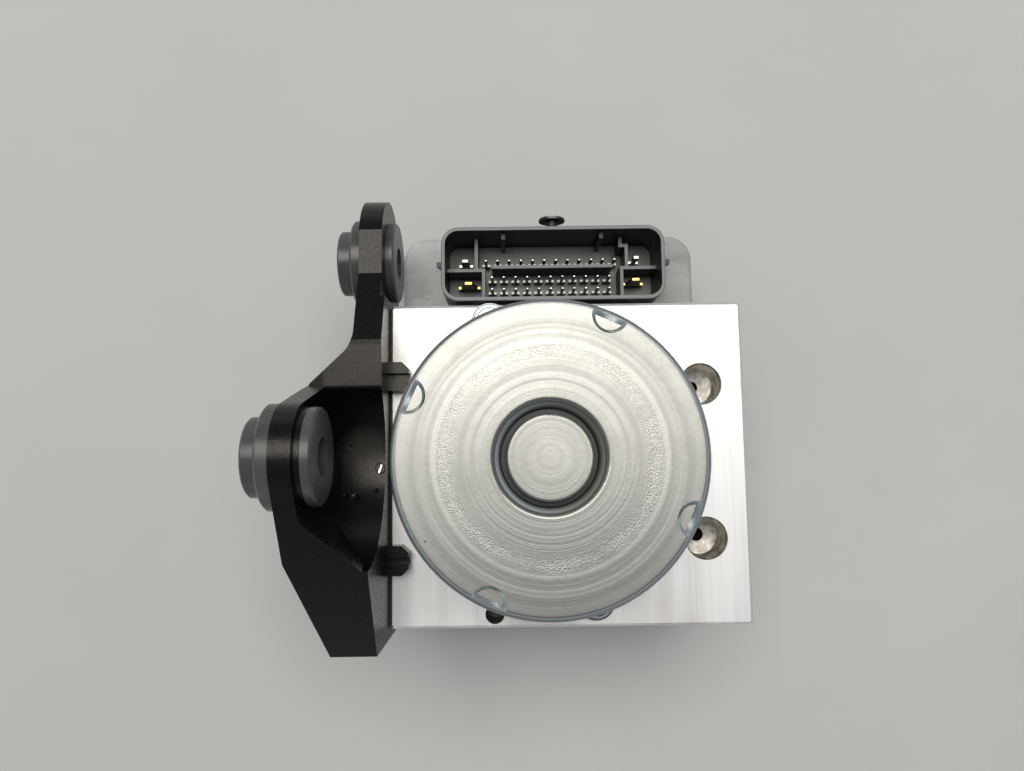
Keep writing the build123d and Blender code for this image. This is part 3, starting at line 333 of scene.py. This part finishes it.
# ------------------------------------------------------------------ finishes
def milled_aluminium(props):
    """Bright milled block: fine tool lines along Y, a few scuffs, bores darkened by an oil film
    and painted shade, drill holes painted near black as painted shade.
    """
    made = Finish("milled_aluminium", props.block_color, 0.32, 1.0)
    x, y, z = made.axes()
    lines = made.noise(1.0, 3.0, 0.6, made.stretched((1500, 14, 700)))
    broad = made.noise(1.0, 2.0, 0.5, made.stretched((160, 7, 90)))
    scuffs = made.noise(55.0, 3.0, 0.6)
    blotch = made.noise(420.0, 3.0, 0.6)
    flat = made.flat(x, y)

    def bore(center, radius, start):
        """1 in an upright bore of this radius, from a depth under the top face."""
        aside = made.distance((*center, 0.0), flat)
        return (1 - made.step(aside, radius, radius + 0.0002)) * made.step(
            BLOCK_TOP - z, start, start + 0.0006
        )

    color = made.blend(
        made.ramp(lines, (0.3, 0.0), (0.75, 1.0)), (0.72, 0.71, 0.69), tuple(props.block_color)
    )
    color = made.blend(made.ramp(broad, (0.40, 0.0), (0.66, 0.6)), color, (0.93, 0.91, 0.87))
    color = made.blend(made.ramp(broad, (0.30, 0.45), (0.50, 0.0)), color, (0.68, 0.63, 0.56))
    color = made.blend(made.ramp(scuffs, (0.50, 0.0), (0.72, 0.5)), color, (0.72, 0.68, 0.60))
    # inside the ports the colour turns a blotchy dark brown: partly an oil film, partly painted
    # shade in the bores
    bore_oil_and_painted_shade = made.blend(
        made.ramp(blotch, (0.38, 0.0), (0.60, 1.0)), (0.48, 0.43, 0.34), (0.95, 0.92, 0.84)
    )
    threads, drills = [
        bore(LINE_PORTS[0], radius, start).greater(bore(LINE_PORTS[1], radius, start))
        for radius, start in (
            (PORT_RADIUS + PORT_MARGIN, BORE_OIL_AND_SHADE_START),
            (DRILL_RADIUS, DRILL_START),
        )
    ]
    color = made.blend(threads * 0.85, color, bore_oil_and_painted_shade)
    # the drill holes and the spare hole are painted near black: painted shade in the deep holes
    dark = drills.greater(bore(SPARE_HOLE, SPARE_RADIUS, SPARE_START) * 0.7)
    color = made.blend(dark, color, (0.030, 0.024, 0.018))
    made.set("Base Color", color)
    rough = 0.45 + lines * 0.12 + made.ramp(scuffs, (0.55, 0.0), (0.75, 1.0)) * 0.10
    made.set("Roughness", rough + dark * 0.3)
    made.bump(lines + broad * 0.5, 0.22, 0.00005)
    return made


def zinc_can(props):
    """Drawn steel with dull zinc: rings of the drawing die round the axis, with painted shade and
    painted reflection in the groove, on the dents and round the rim.
    """
    made = Finish("zinc_can", props.can_color, 0.42, 1.0)
    x, y, z = made.axes()
    radius = (x * x + y * y).power(0.5)
    fine = made.noise(900.0, 3.0, 0.65)
    cloud = made.noise(60.0, 3.0, 0.6)
    peel = made.cells(4300.0, "SMOOTH_F1")
    rings = made.rings(radius, 900.0, 3.0, 0.6)
    tone = made.rings(radius, 420.0, 1.0, 0.5)
    peel_band = made.band(radius, PEEL_RADIUS, 0.0006, 0.0022) * made.ramp(
        made.noise(190.0, 2.0, 0.5), (0.32, 0.25), (0.60, 1.0)
    )
    bright = made.band(radius, BRIGHT_RADIUS, 0.0004, 0.0004)
    outer_line, inner_line = [made.band(radius, *ring) for ring in DULL_RINGS]
    dull_lines = outer_line.greater(inner_line)
    slope = made.node(
        "ShaderNodeMapRange",
        inputs={0: radius, 1: END_STEP, 2: END_STEP + END_SLOPE, 3: 0.0, 4: 1.0},
    )
    drop = MOTOR_TOP - z
    groove = (1 - made.step(radius, GROOVE_EDGE, GROOVE_EDGE + 0.0006)) * made.step(
        drop, GROOVE_START, GROOVE_START + 0.0010
    )
    wall = made.step(radius, BOSS_EDGE, BOSS_EDGE + 0.0010)
    painted_rim_reflection = made.step(radius, RIM_RADIUS, RIM_RADIUS + 0.0007) * (
        1 - made.step(drop, 0.0016, 0.0026)
    )
    sunk = made.band(drop, DENT_DEPTH, 0.0005, 0.0001) * made.band(
        radius, DENT_RADIUS, 0.0018, 0.0001
    )
    warm = tuple(props.can_color)
    dim, dark, light, brightest = [
        tuple(share * part for part in warm) for share in (0.88, 0.66, 1.3, 1.5)
    ]
    # painted reflection and painted shade on the groove's outer wall: a pale blue sky reflection
    # on the left, darker brown on the right
    sides = made.blend(made.step(x, -0.012, 0.010), (0.80, 0.88, 0.93), (0.48, 0.46, 0.39))
    # the rim is painted by side, dark olive on the left and blue on the right: a painted
    # reflection
    rim = made.blend(made.step(x, -0.03, 0.03), (0.20, 0.20, 0.18), (0.36, 0.43, 0.48))
    color = made.blend(made.ramp(cloud, (0.35, 0.0), (0.7, 1.0)), warm, dim)
    color = made.blend(made.ramp(tone, (0.35, 0.5), (0.60, 0.0)), color, dark)
    grains = peel_band * made.ramp(peel, (0.1, 1.0), (0.5, 0.0)) * 0.9
    color = made.blend(grains, color, brightest)
    color = made.blend(bright * 0.5, color, light)
    color = made.blend(dull_lines * 0.12, color, (0.20, 0.20, 0.20))
    # in the groove the boss foot is painted near black as painted shadow, and the outer wall takes
    # the painted light above
    color = made.blend(groove, color, made.blend(wall, (0.05, 0.05, 0.05), sides))
    # the dents are painted a pale blue-white: a painted reflection on their floors
    color = made.blend(sunk * 0.8, color, (0.80, 0.86, 0.88))
    color = made.blend(painted_rim_reflection * 0.8, color, rim)
    color = made.blend(made.spot(CAN_SPOT, 0.00022, 0.0004), color, (0.16, 0.15, 0.14))
    made.set("Base Color", color)
    made.set("Metallic", 1 - groove * 0.7)
    made.set("Roughness", 0.29 + fine * 0.10 + cloud * 0.06 + groove * 0.15)
    height = rings * 0.6 + fine * 0.35 - peel_band * peel - dull_lines * 0.3
    height = height - slope * END_STEP_LEAN
    made.bump(height, 0.5, 0.00008)
    return made


def cast_paint(props):
    """Satin black paint over a casting: fine grain, specks, small pits and one nick, with a
    painted sheen on the gusset and in the pocket and painted shade in the pits.
    """
    made = Finish(
        "cast_paint",
        props.bracket_color,
        0.30,
        sockets={"Specular IOR Level": 0.30, "Specular Tint": (1.0, 0.94, 0.86, 1.0)},
    )
    x, y, z = made.axes()
    fine = made.noise(1500.0, 3.0, 0.6)
    swell = made.noise(220.0, 2.0, 0.5)
    dust = made.ramp(made.cells(420.0, "F1"), (0.0, 1.0), (0.11, 0.0))
    # the gusset and the pocket get a lighter paint colour: a painted sheen where the paint
    # reflects the lamp
    gusset = 1.0
    for axis, center, half, fade in zip((x, y, z), GUSSET, GUSSET_HALF, GUSSET_FADE):
        gusset = made.band(axis, center, half, fade) * gusset
    painted_sheen = gusset.greater(made.spot(POCKET, *POCKET_SHEEN) * 0.9)
    pits = None
    for place, size in PITS:
        pit = made.spot(place, size * 0.45, size)
        pits = pit if pits is None else pits.greater(pit)
    hollow = 1 - made.step(made.distance(NICK) + fine * 0.0012, 0.0018, 0.0021)
    across = abs((x - NICK[0]) - (y - NICK[1]) * NICK_LEAN)
    chip = hollow * (1 - made.step(across + fine * 0.0003, 0.00026, 0.00040))
    black = tuple(props.bracket_color)
    color = made.blend(
        made.ramp(swell, (0.4, 0.0), (0.7, 1.0)), black, tuple(1.5 * part for part in black)
    )
    color = made.blend(dust * 0.06, color, (0.24, 0.22, 0.19))
    color = made.blend(painted_sheen * (0.45 + swell * 0.5), color, (0.062, 0.057, 0.049))
    # the pits and the dent round the nick are painted near black: painted shade in the hollows
    color = made.blend(pits.greater(hollow) * 0.8, color, (0.001, 0.001, 0.001))
    color = made.blend(chip, color, (0.80, 0.79, 0.77))
    made.set("Base Color", color)
    made.set("Metallic", chip * 0.9)
    made.set("Roughness", 0.22 + made.ramp(fine, (0.35, 0.0), (0.65, 1.0)) * 0.11)
    made.bump(fine * 0.45 + swell * 0.7 - pits * 4.0 - hollow * 2.0, 0.55, 0.00010)
    return made


def bush_rubber(props):
    """Dark blue-grey moulded rubber with a low sheen and faint turning marks."""
    made = Finish("bush_rubber", props.bush_color, 0.36)
    cloud = made.noise(130.0, 3.0, 0.6)
    fine = made.noise(1.0, 2.0, 0.5, made.stretched((1600, 300, 300)))
    color = made.blend(
        made.ramp(cloud, (0.35, 0.0), (0.7, 1.0)), tuple(props.bush_color), (0.088, 0.088, 0.086)
    )
    made.set("Base Color", color)
    made.set("Roughness", 0.24 + cloud * 0.12)
    made.bump(fine, 0.12, 0.00004)
    return made


def moulded_plastic(props):
    """Black moulding: grey roof under dust, paler on the left with painted light, scuffed pale
    rim, dark inside the socket, whose floor is lightened with painted light.
    """
    made = Finish("moulded_plastic", props.plastic_color, 0.45)
    x, y, z = made.axes()
    grain = made.noise(1600.0, 2.0, 0.5)
    cloud = made.noise(70.0, 4.0, 0.6)
    streak = made.noise(1.0, 3.0, 0.6, made.stretched((60, 260, 60)))
    roof = made.step(z, ECU_ROOF - 0.0035, ECU_ROOF - 0.0004) * (
        1 - made.step(z, ECU_ROOF + 0.0002, ECU_ROOF + 0.0014)
    )
    # the roof's dust is paler on the left: partly dust, partly painted light that lifts the shadow
    # of the bracket
    roof_dust_and_painted_light = made.blend(made.step(x, -0.03, 0.04), (0.72, 0.71, 0.685), (0.47, 0.465, 0.445))
    dust = roof * (0.62 + made.ramp(cloud, (0.35, 0.0), (0.7, 1.0)) * 0.38)
    color = made.blend(dust, tuple(props.plastic_color), roof_dust_and_painted_light)
    streaks = roof * made.ramp(streak, (0.50, 0.0), (0.72, 0.45))
    color = made.blend(streaks, color, (0.16, 0.158, 0.15))
    rim = made.step(z, HEADER_RIM - 0.0009, HEADER_RIM - 0.0002)
    color = made.blend(rim * 0.85, color, (0.25, 0.25, 0.245))
    inner = made.band(x, HEADER_CENTER[0], HEADER_HALF[0], 0.0001) * made.band(
        y, HEADER_CENTER[1], HEADER_HALF[1], 0.0001
    )
    # the socket floor is lightened: partly its grey seal tone, partly painted light that lifts the
    # socket's shade
    floor = made.band(z, SOCKET_FLOOR, 0.0002, 0.0001) * inner
    color = made.blend(floor * (0.75 + cloud * 0.25), color, (0.25, 0.245, 0.225))
    wall_top = made.band(z, PARTITION_TOP, 0.00008, 0.00004) * inner
    color = made.blend(wall_top * 0.7, color, (0.24, 0.24, 0.23))
    made.set("Base Color", color)
    made.set("Roughness", 0.38 + grain * 0.14 + dust * 0.2)
    made.bump(grain, 0.2, 0.00004)
    return made


def plain_finish(name, color, other, roughness, metallic=0.0):
    """A small piece's finish: two close shades in soft clouds and a fine relief."""
    made = Finish(name, color, roughness, metallic)
    cloud = made.noise(300.0, 3.0, 0.6)
    fine = made.noise(1500.0, 2.0, 0.5)
    made.set("Base Color", made.blend(made.ramp(cloud, (0.35, 0.0), (0.7, 1.0)), color, other))
    made.set("Roughness", (roughness - 0.06) + fine * 0.12)
    made.bump(fine, 0.2, 0.00004)
    return made


def flanged_screws(name, color, edge_shade_color, centers, radii):
    """Plated screws with a thin line of painted shade round the flange and round the head."""
    made = Finish(name, color, 0.30, 1.0)
    x, y, z = made.axes()
    flat = made.flat(x, y)
    fine = made.noise(1500.0, 2.0, 0.5)
    line = None
    for center in centers:
        away = made.distance((*center, 0.0), flat)
        for radius in radii:
            ring = made.band(away, radius, 0.00012, 0.00008)
            line = ring if line is None else line.greater(ring)
    made.set("Base Color", made.blend(line * 0.9, color, edge_shade_color))
    made.set("Roughness", 0.26 + fine * 0.12)
    made.bump(fine, 0.2, 0.00004)
    return made


def contact_finish(name, color, shade, shoulder_glint, other=None):
    """Plated contacts with shanks painted dark as painted shade and tips and shoulders painted
    bright as painted glints; past the tin row they have the other plating.
    """
    made = Finish(name, color, 0.25, 1.0)
    x, y, z = made.axes()
    fine = made.noise(2500.0, 2.0, 0.5)
    plating = made.blend(y.above(TIN_ROW), color, other or color)
    # painted glints on the pin tips and shoulders; the rest of each pin takes the dark colour as
    # painted shade
    bright = (made.step(z, PIN_TIP - 0.0009, PIN_TIP - 0.0003) * 0.5).greater(
        made.band(z, PIN_SHOULDER, 0.00012, 0.0001) * shoulder_glint
    )
    made.set("Base Color", made.blend(bright, shade, plating))
    made.set("Roughness", 0.20 + fine * 0.12)
    made.bump(fine, 0.15, 0.00002)
    return made


# ------------------------------------------------------------------ modelling helpers
def clear_selection():
    if bpy.context.object and bpy.context.object.mode != "OBJECT":
        bpy.ops.object.mode_set(mode="OBJECT")
    bpy.ops.object.select_all(action="DESELECT")


def settle(thing, name, finish):
    """Names a finished piece, puts its place into its mesh and hands it to the frame."""
    clear_selection()
    thing.select_set(True)
    bpy.context.view_layer.objects.active = thing
    bpy.ops.object.transform_apply(location=True, rotation=True, scale=True)
    bpy.ops.object.shade_smooth_by_angle(angle=SMOOTH_ANGLE)
    thing.name = name
    finish.apply(thing)
    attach(thing, BODY)
    return thing


def start_profile(sides, size, radius):
    """A flat polygon that stands beside the vertical axis, ready to be wound round it."""
    clear_selection()
    bpy.ops.mesh.primitive_circle_add(
        vertices=sides, radius=size, rotation=(pi / 2, 0, 0), location=(radius, 0, 0)
    )
    bpy.ops.object.transform_apply(location=True, rotation=True, scale=True)
    return bpy.context.object


def wind(profile, pitch, turns):
    """Turns a profile into a closed helical bar."""
    winding = profile.modifiers.new("Winding", "SCREW")
    winding.axis = "Z"
    winding.screw_offset = pitch
    winding.iterations = turns
    winding.steps = WINDING_STEPS
    winding.render_steps = WINDING_STEPS
    bpy.ops.object.modifier_apply(modifier=winding.name)
    bpy.ops.object.mode_set(mode="EDIT")
    bpy.ops.mesh.select_mode(type="EDGE")
    bpy.ops.mesh.select_all(action="DESELECT")
    bpy.ops.mesh.select_non_manifold()
    bpy.ops.mesh.fill()
    bpy.ops.mesh.select_all(action="SELECT")
    bpy.ops.mesh.normals_make_consistent(inside=False)
    bpy.ops.object.mode_set(mode="OBJECT")
    return profile


def thread_ridge(radius, pitch, turns):
    """A helical ridge that hangs below the origin, just inside a bore of this radius."""
    ridge = start_profile(3, pitch * RIDGE_SIZE, radius - pitch * RIDGE_SINK)
    for point in ridge.data.vertices:
        point.co.x = min(point.co.x, radius - RIDGE_SEAT)
    return wind(ridge, -pitch, turns)


# ------------------------------------------------------------------ settings
class BrakeModuleSettings(bpy.types.PropertyGroup):
    block_color: bpy.props.FloatVectorProperty(
        name="Block", description="Colour of the milled block", subtype="COLOR",
        default=(0.88, 0.875, 0.87), min=0.0, max=1.0,
    )
    can_color: bpy.props.FloatVectorProperty(
        name="Motor can", description="Colour of the zinc plate", subtype="COLOR",
        default=(0.335, 0.33, 0.304), min=0.0, max=1.0,
    )
    bracket_color: bpy.props.FloatVectorProperty(
        name="Bracket", description="Colour of the black paint", subtype="COLOR",
        default=(0.0022, 0.0021, 0.0020), min=0.0, max=1.0,
    )
    bush_color: bpy.props.FloatVectorProperty(
        name="Bushes", description="Colour of the rubber", subtype="COLOR",
        default=(0.056, 0.055, 0.052), min=0.0, max=1.0,
    )
    plastic_color: bpy.props.FloatVectorProperty(
        name="Control unit", description="Colour of the moulding", subtype="COLOR",
        default=(0.012, 0.012, 0.012), min=0.0, max=1.0,
    )
    thread_pitch: bpy.props.FloatProperty(
        name="Thread pitch", description="Distance between the turns of the port threads",
        subtype="DISTANCE", unit="LENGTH", default=0.001, min=0.0005, max=0.002,
    )
    spring_wire: bpy.props.FloatProperty(
        name="Spring wire", description="Thickness of the accumulator springs' wire",
        subtype="DISTANCE", unit="LENGTH", default=0.0016, min=0.0005, max=0.003,
    )


class StudioSettings(bpy.types.PropertyGroup):
    key_power: bpy.props.FloatProperty(
        name="Softbox", description="Power of the large lamp overhead", default=30.0, min=0.0
    )
    sky: bpy.props.FloatProperty(
        name="Surroundings", description="Strength of the light from all round",
        default=0.28, min=0.0,
    )
    wall: bpy.props.FloatProperty(
        name="Walls", description="Brightness of the pale walls behind the module",
        default=0.82, min=0.0, max=1.0,
    )
    floor_color: bpy.props.FloatVectorProperty(
        name="Floor", description="Colour of the floor", subtype="COLOR",
        default=(0.62, 0.60, 0.57), min=0.0, max=1.0,
    )


# ------------------------------------------------------------------ operators
class MODULE_OT_metals(bpy.types.Operator):
    """Gives the block, can, screws and inner metal pieces their finishes"""

    bl_idname = "brake_module.metals"
    bl_label = "Metal finishes"

    def execute(self, context):
        props = context.scene.brake_module
        FINISHES["block"] = milled_aluminium(props)
        FINISHES["can"] = zinc_can(props)
        FINISHES["paint"] = cast_paint(props)
        FINISHES["screw"] = plain_finish(
            "blue_zinc", (0.26, 0.32, 0.38), (0.42, 0.46, 0.49), 0.30, 1.0
        )
        angles = [radians(SCREW_ANGLE + turn) for turn in (0, 180)]
        # the near-black second colour is painted shade for the lines round flange and head
        FINISHES["motor_screw"] = flanged_screws(
            "flanged_zinc", (0.42, 0.46, 0.49), (0.02, 0.02, 0.02),
            [(SCREW_CIRCLE * cos(angle), SCREW_CIRCLE * sin(angle)) for angle in angles],
            SCREW_SHADE_RADII,
        )
        FINISHES["steel"] = plain_finish(
            "ground_steel", (0.50, 0.50, 0.51), (0.60, 0.60, 0.60), 0.30, 1.0
        )
        FINISHES["copper"] = plain_finish(
            "enamelled_copper", (0.60, 0.26, 0.12), (0.70, 0.36, 0.18), 0.35, 1.0
        )
        FINISHES["dark_steel"] = plain_finish(
            "dark_steel", (0.16, 0.16, 0.17), (0.24, 0.24, 0.25), 0.45, 0.8
        )
        tin = (0.86, 0.84, 0.78)
        # the dark second colours are painted shade on the pin shanks
        FINISHES["tin"] = contact_finish("tin_plate", tin, (0.05, 0.05, 0.05), 0.12)
        FINISHES["gold"] = contact_finish(
            "gold_plate", (0.93, 0.70, 0.16), (0.06, 0.055, 0.05), 0.45, tin
        )
        groups = {
            "block": ["hydraulic_block"],
            "can": ["motor_can", "motor_shield"],
            "paint": ["mounting_bracket"],
            "motor_screw": ["motor_screws"],
            "screw": ["bracket_screws", "ecu_screws"],
            "copper": ["rotor_windings", "commutator", "motor_terminals"],
            "dark_steel": ["rotor_core", "motor_magnets"],
            "tin": ["signal_pins"],
            "gold": ["power_pins"],
        }
        named = {n for group in groups.values() for n in group}
        metals = ("aluminium", "steel", "valve", "piston", "plug", "spring", "cap", "sleeve",
                  "bearing", "shaft", "ring", "sensor")
        for key, group in groups.items():
            FINISHES[key].apply(*[NODES[n] for n in group])
        for name, thing in NODES.items():
            if name not in named and any(word in name for word in metals):
                FINISHES["steel"].apply(thing)
        return {"FINISHED"}


class MODULE_OT_mouldings(bpy.types.Operator):
    """Gives the plastic and rubber pieces their finishes"""

    bl_idname = "brake_module.mouldings"
    bl_label = "Plastic and rubber finishes"

    def execute(self, context):
        props = context.scene.brake_module
        FINISHES["plastic"] = moulded_plastic(props)
        FINISHES["rubber"] = bush_rubber(props)
        FINISHES["board"] = plain_finish(
            "solder_mask", (0.02, 0.09, 0.04), (0.03, 0.12, 0.05), 0.3
        )
        FINISHES["dark"] = plain_finish(
            "black_resin", (0.02, 0.02, 0.02), (0.035, 0.034, 0.033), 0.45
        )
        for key, group in {
            "plastic": ["ecu_housing", "ecu_cover"],
            "rubber": ["bracket_bush_lower", "bracket_bush_upper", "ecu_seal", "shaft_seal"],
            "board": ["circuit_board"],
            "dark": ["circuit_components", "valve_coils", "brush_holder", "brushes"],
        }.items():
            FINISHES[key].apply(*[NODES[n] for n in group])
        return {"FINISHED"}


class MODULE_OT_port_threads(bpy.types.Operator):
    """Winds a fine helical thread inside every port"""

    bl_idname = "brake_module.port_threads"
    bl_label = "Port threads"

    def execute(self, context):
        pitch = context.scene.brake_module.thread_pitch
        for index, (x, y) in enumerate(LINE_PORTS):
            ridge = thread_ridge(PORT_RADIUS, pitch, THREAD_TURNS)
            ridge.location = (x, y, BLOCK_TOP - THREAD_START)
            settle(ridge, f"line_port_thread_{index + 1}", FINISHES["block"])
        for index, (x, z) in enumerate(WHEEL_PORTS):
            ridge = thread_ridge(WHEEL_RADIUS, pitch, THREAD_TURNS)
            ridge.rotation_euler = (pi / 2, 0, 0)
            ridge.location = (x, BLOCK_LOW.y + THREAD_START, z)
            settle(ridge, f"wheel_port_thread_{index + 1}", FINISHES["block"])
        return {"FINISHED"}


class MODULE_OT_accumulator_springs(bpy.types.Operator):
    """Winds the two accumulator springs"""

    bl_idname = "brake_module.accumulator_springs"
    bl_label = "Accumulator springs"

    def execute(self, context):
        wire = context.scene.brake_module.spring_wire / 2
        for side in ("left", "right"):
            low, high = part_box(f"accumulator_spring_{side}")
            length = high.y - low.y
            middle = (low + high) / 2
            spring = start_profile(6, wire, (high.x - low.x) / 2 - wire)
            wind(spring, (length - 2 * wire) / SPRING_TURNS, SPRING_TURNS)
            spring.rotation_euler = (-pi / 2, 0, 0)
            spring.location = (middle.x, low.y + wire, middle.z)
            settle(spring, f"shortening_spring_{side}", FINISHES["steel"])
            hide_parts(f"accumulator_spring_{side}")
            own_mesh(spring)
        return {"FINISHED"}


def light_surroundings(kit, props):
    """A dim sky for light, and pale walls that the camera and shiny surfaces see."""
    background = kit.tree.nodes["Background"]
    path = kit.node("ShaderNodeLightPath").socket.node.outputs
    camera, glossy, clear = [
        Value(kit, path[f"Is {kind} Ray"]) for kind in ("Camera", "Glossy", "Transmission")
    ]
    way = kit.node("ShaderNodeTexCoord", output="Generated")
    rise = kit.node("ShaderNodeSeparateXYZ", inputs={0: way}, output=2)
    low = 1 - kit.step(rise, 0.05, 0.40)
    walls = camera.greater(clear).greater(glossy * low)
    color = kit.blend(walls, (0.82, 0.89, 1.0), (0.97, 0.98, 1.0))
    strength = props.sky + walls * (props.wall - props.sky)
    kit.tree.links.new(color.socket, background.inputs["Color"])
    kit.tree.links.new(strength.socket, background.inputs["Strength"])


def lay_floor(props):
    """A wide matt floor just under the module."""
    clear_selection()
    bpy.ops.mesh.primitive_plane_add(size=FLOOR_SIZE, location=(0, 0, FLOOR_LEVEL))
    floor = bpy.context.object
    floor.name = "studio_floor"
    pale = tuple(props.floor_color)
    paint = Finish("floor_paint", pale, 0.85)
    clouds = paint.ramp(paint.noise(9.0, 5.0, 0.6), (0.3, 0.0), (0.7, 1.0))
    paler = tuple(min(1.0, 1.05 * part) for part in pale)
    paint.set("Base Color", paint.blend(clouds, pale, paler))
    paint.apply(floor)


def hang_softbox(scene, props):
    """One large lamp overhead, facing straight down."""
    lamp = bpy.data.lights.new("softbox", "AREA")
    lamp.shape = "RECTANGLE"
    lamp.size, lamp.size_y = SOFTBOX_SIZE
    lamp.energy = props.key_power
    lamp.color = (1.0, 0.985, 0.95)
    holder = bpy.data.objects.new("softbox", lamp)
    scene.collection.objects.link(holder)
    holder.location = SOFTBOX_PLACE


def place_camera(scene):
    """A fixed camera almost straight above the module."""
    camera = bpy.data.cameras.new("camera")
    camera.sensor_width = SENSOR_WIDTH
    camera.lens = LENS
    camera.clip_start = 0.01
    eye = bpy.data.objects.new("camera", camera)
    scene.collection.objects.link(eye)
    eye.matrix_world = (
        Matrix.Translation(EYE)
        @ Matrix.Rotation(EYE_TURN, 4, "Z")
        @ Matrix.Rotation(EYE_TILT, 4, "X")
    )
    scene.camera = eye


class MODULE_OT_stage(bpy.types.Operator):
    """Sets the floor, the softbox, the surroundings and the camera"""

    bl_idname = "brake_module.stage"
    bl_label = "Studio"

    def execute(self, context):
        scene = context.scene
        props = scene.brake_studio
        lay_floor(props)
        scene.world = bpy.data.worlds.new("studio_world")
        scene.world.use_nodes = True
        light_surroundings(NodeKit(scene.world.node_tree), props)
        hang_softbox(scene, props)
        place_camera(scene)
        scene.view_settings.view_transform = "Standard"
        return {"FINISHED"}


class MODULE_PT_panel(bpy.types.Panel):
    """Lists the module's settings and steps"""

    bl_idname = "MODULE_PT_panel"
    bl_label = "Brake module"
    bl_space_type = "VIEW_3D"
    bl_region_type = "UI"
    bl_category = "Brake module"

    def draw(self, context):
        for group in (context.scene.brake_module, context.scene.brake_studio):
            box = self.layout.box()
            for key in group.bl_rna.properties.keys():
                if key not in ("rna_type", "name"):
                    box.prop(group, key)
        for step in STEPS:
            self.layout.operator(step.bl_idname)


STEPS = (
    MODULE_OT_metals,
    MODULE_OT_mouldings,
    MODULE_OT_port_threads,
    MODULE_OT_accumulator_springs,
    MODULE_OT_stage,
)
CLASSES = (BrakeModuleSettings, StudioSettings, *STEPS, MODULE_PT_panel)


def register():
    for kind in CLASSES:
        bpy.utils.register_class(kind)
    bpy.types.Scene.brake_module = bpy.props.PointerProperty(type=BrakeModuleSettings)
    bpy.types.Scene.brake_studio = bpy.props.PointerProperty(type=StudioSettings)


def unregister():
    del bpy.types.Scene.brake_studio
    del bpy.types.Scene.brake_module
    for kind in reversed(CLASSES):
        bpy.utils.unregister_class(kind)


def main():
    register()
    for step in STEPS:
        group, name = step.bl_idname.split(".")
        getattr(getattr(bpy.ops, group), name)()


if __name__ == "__main__":
    main()
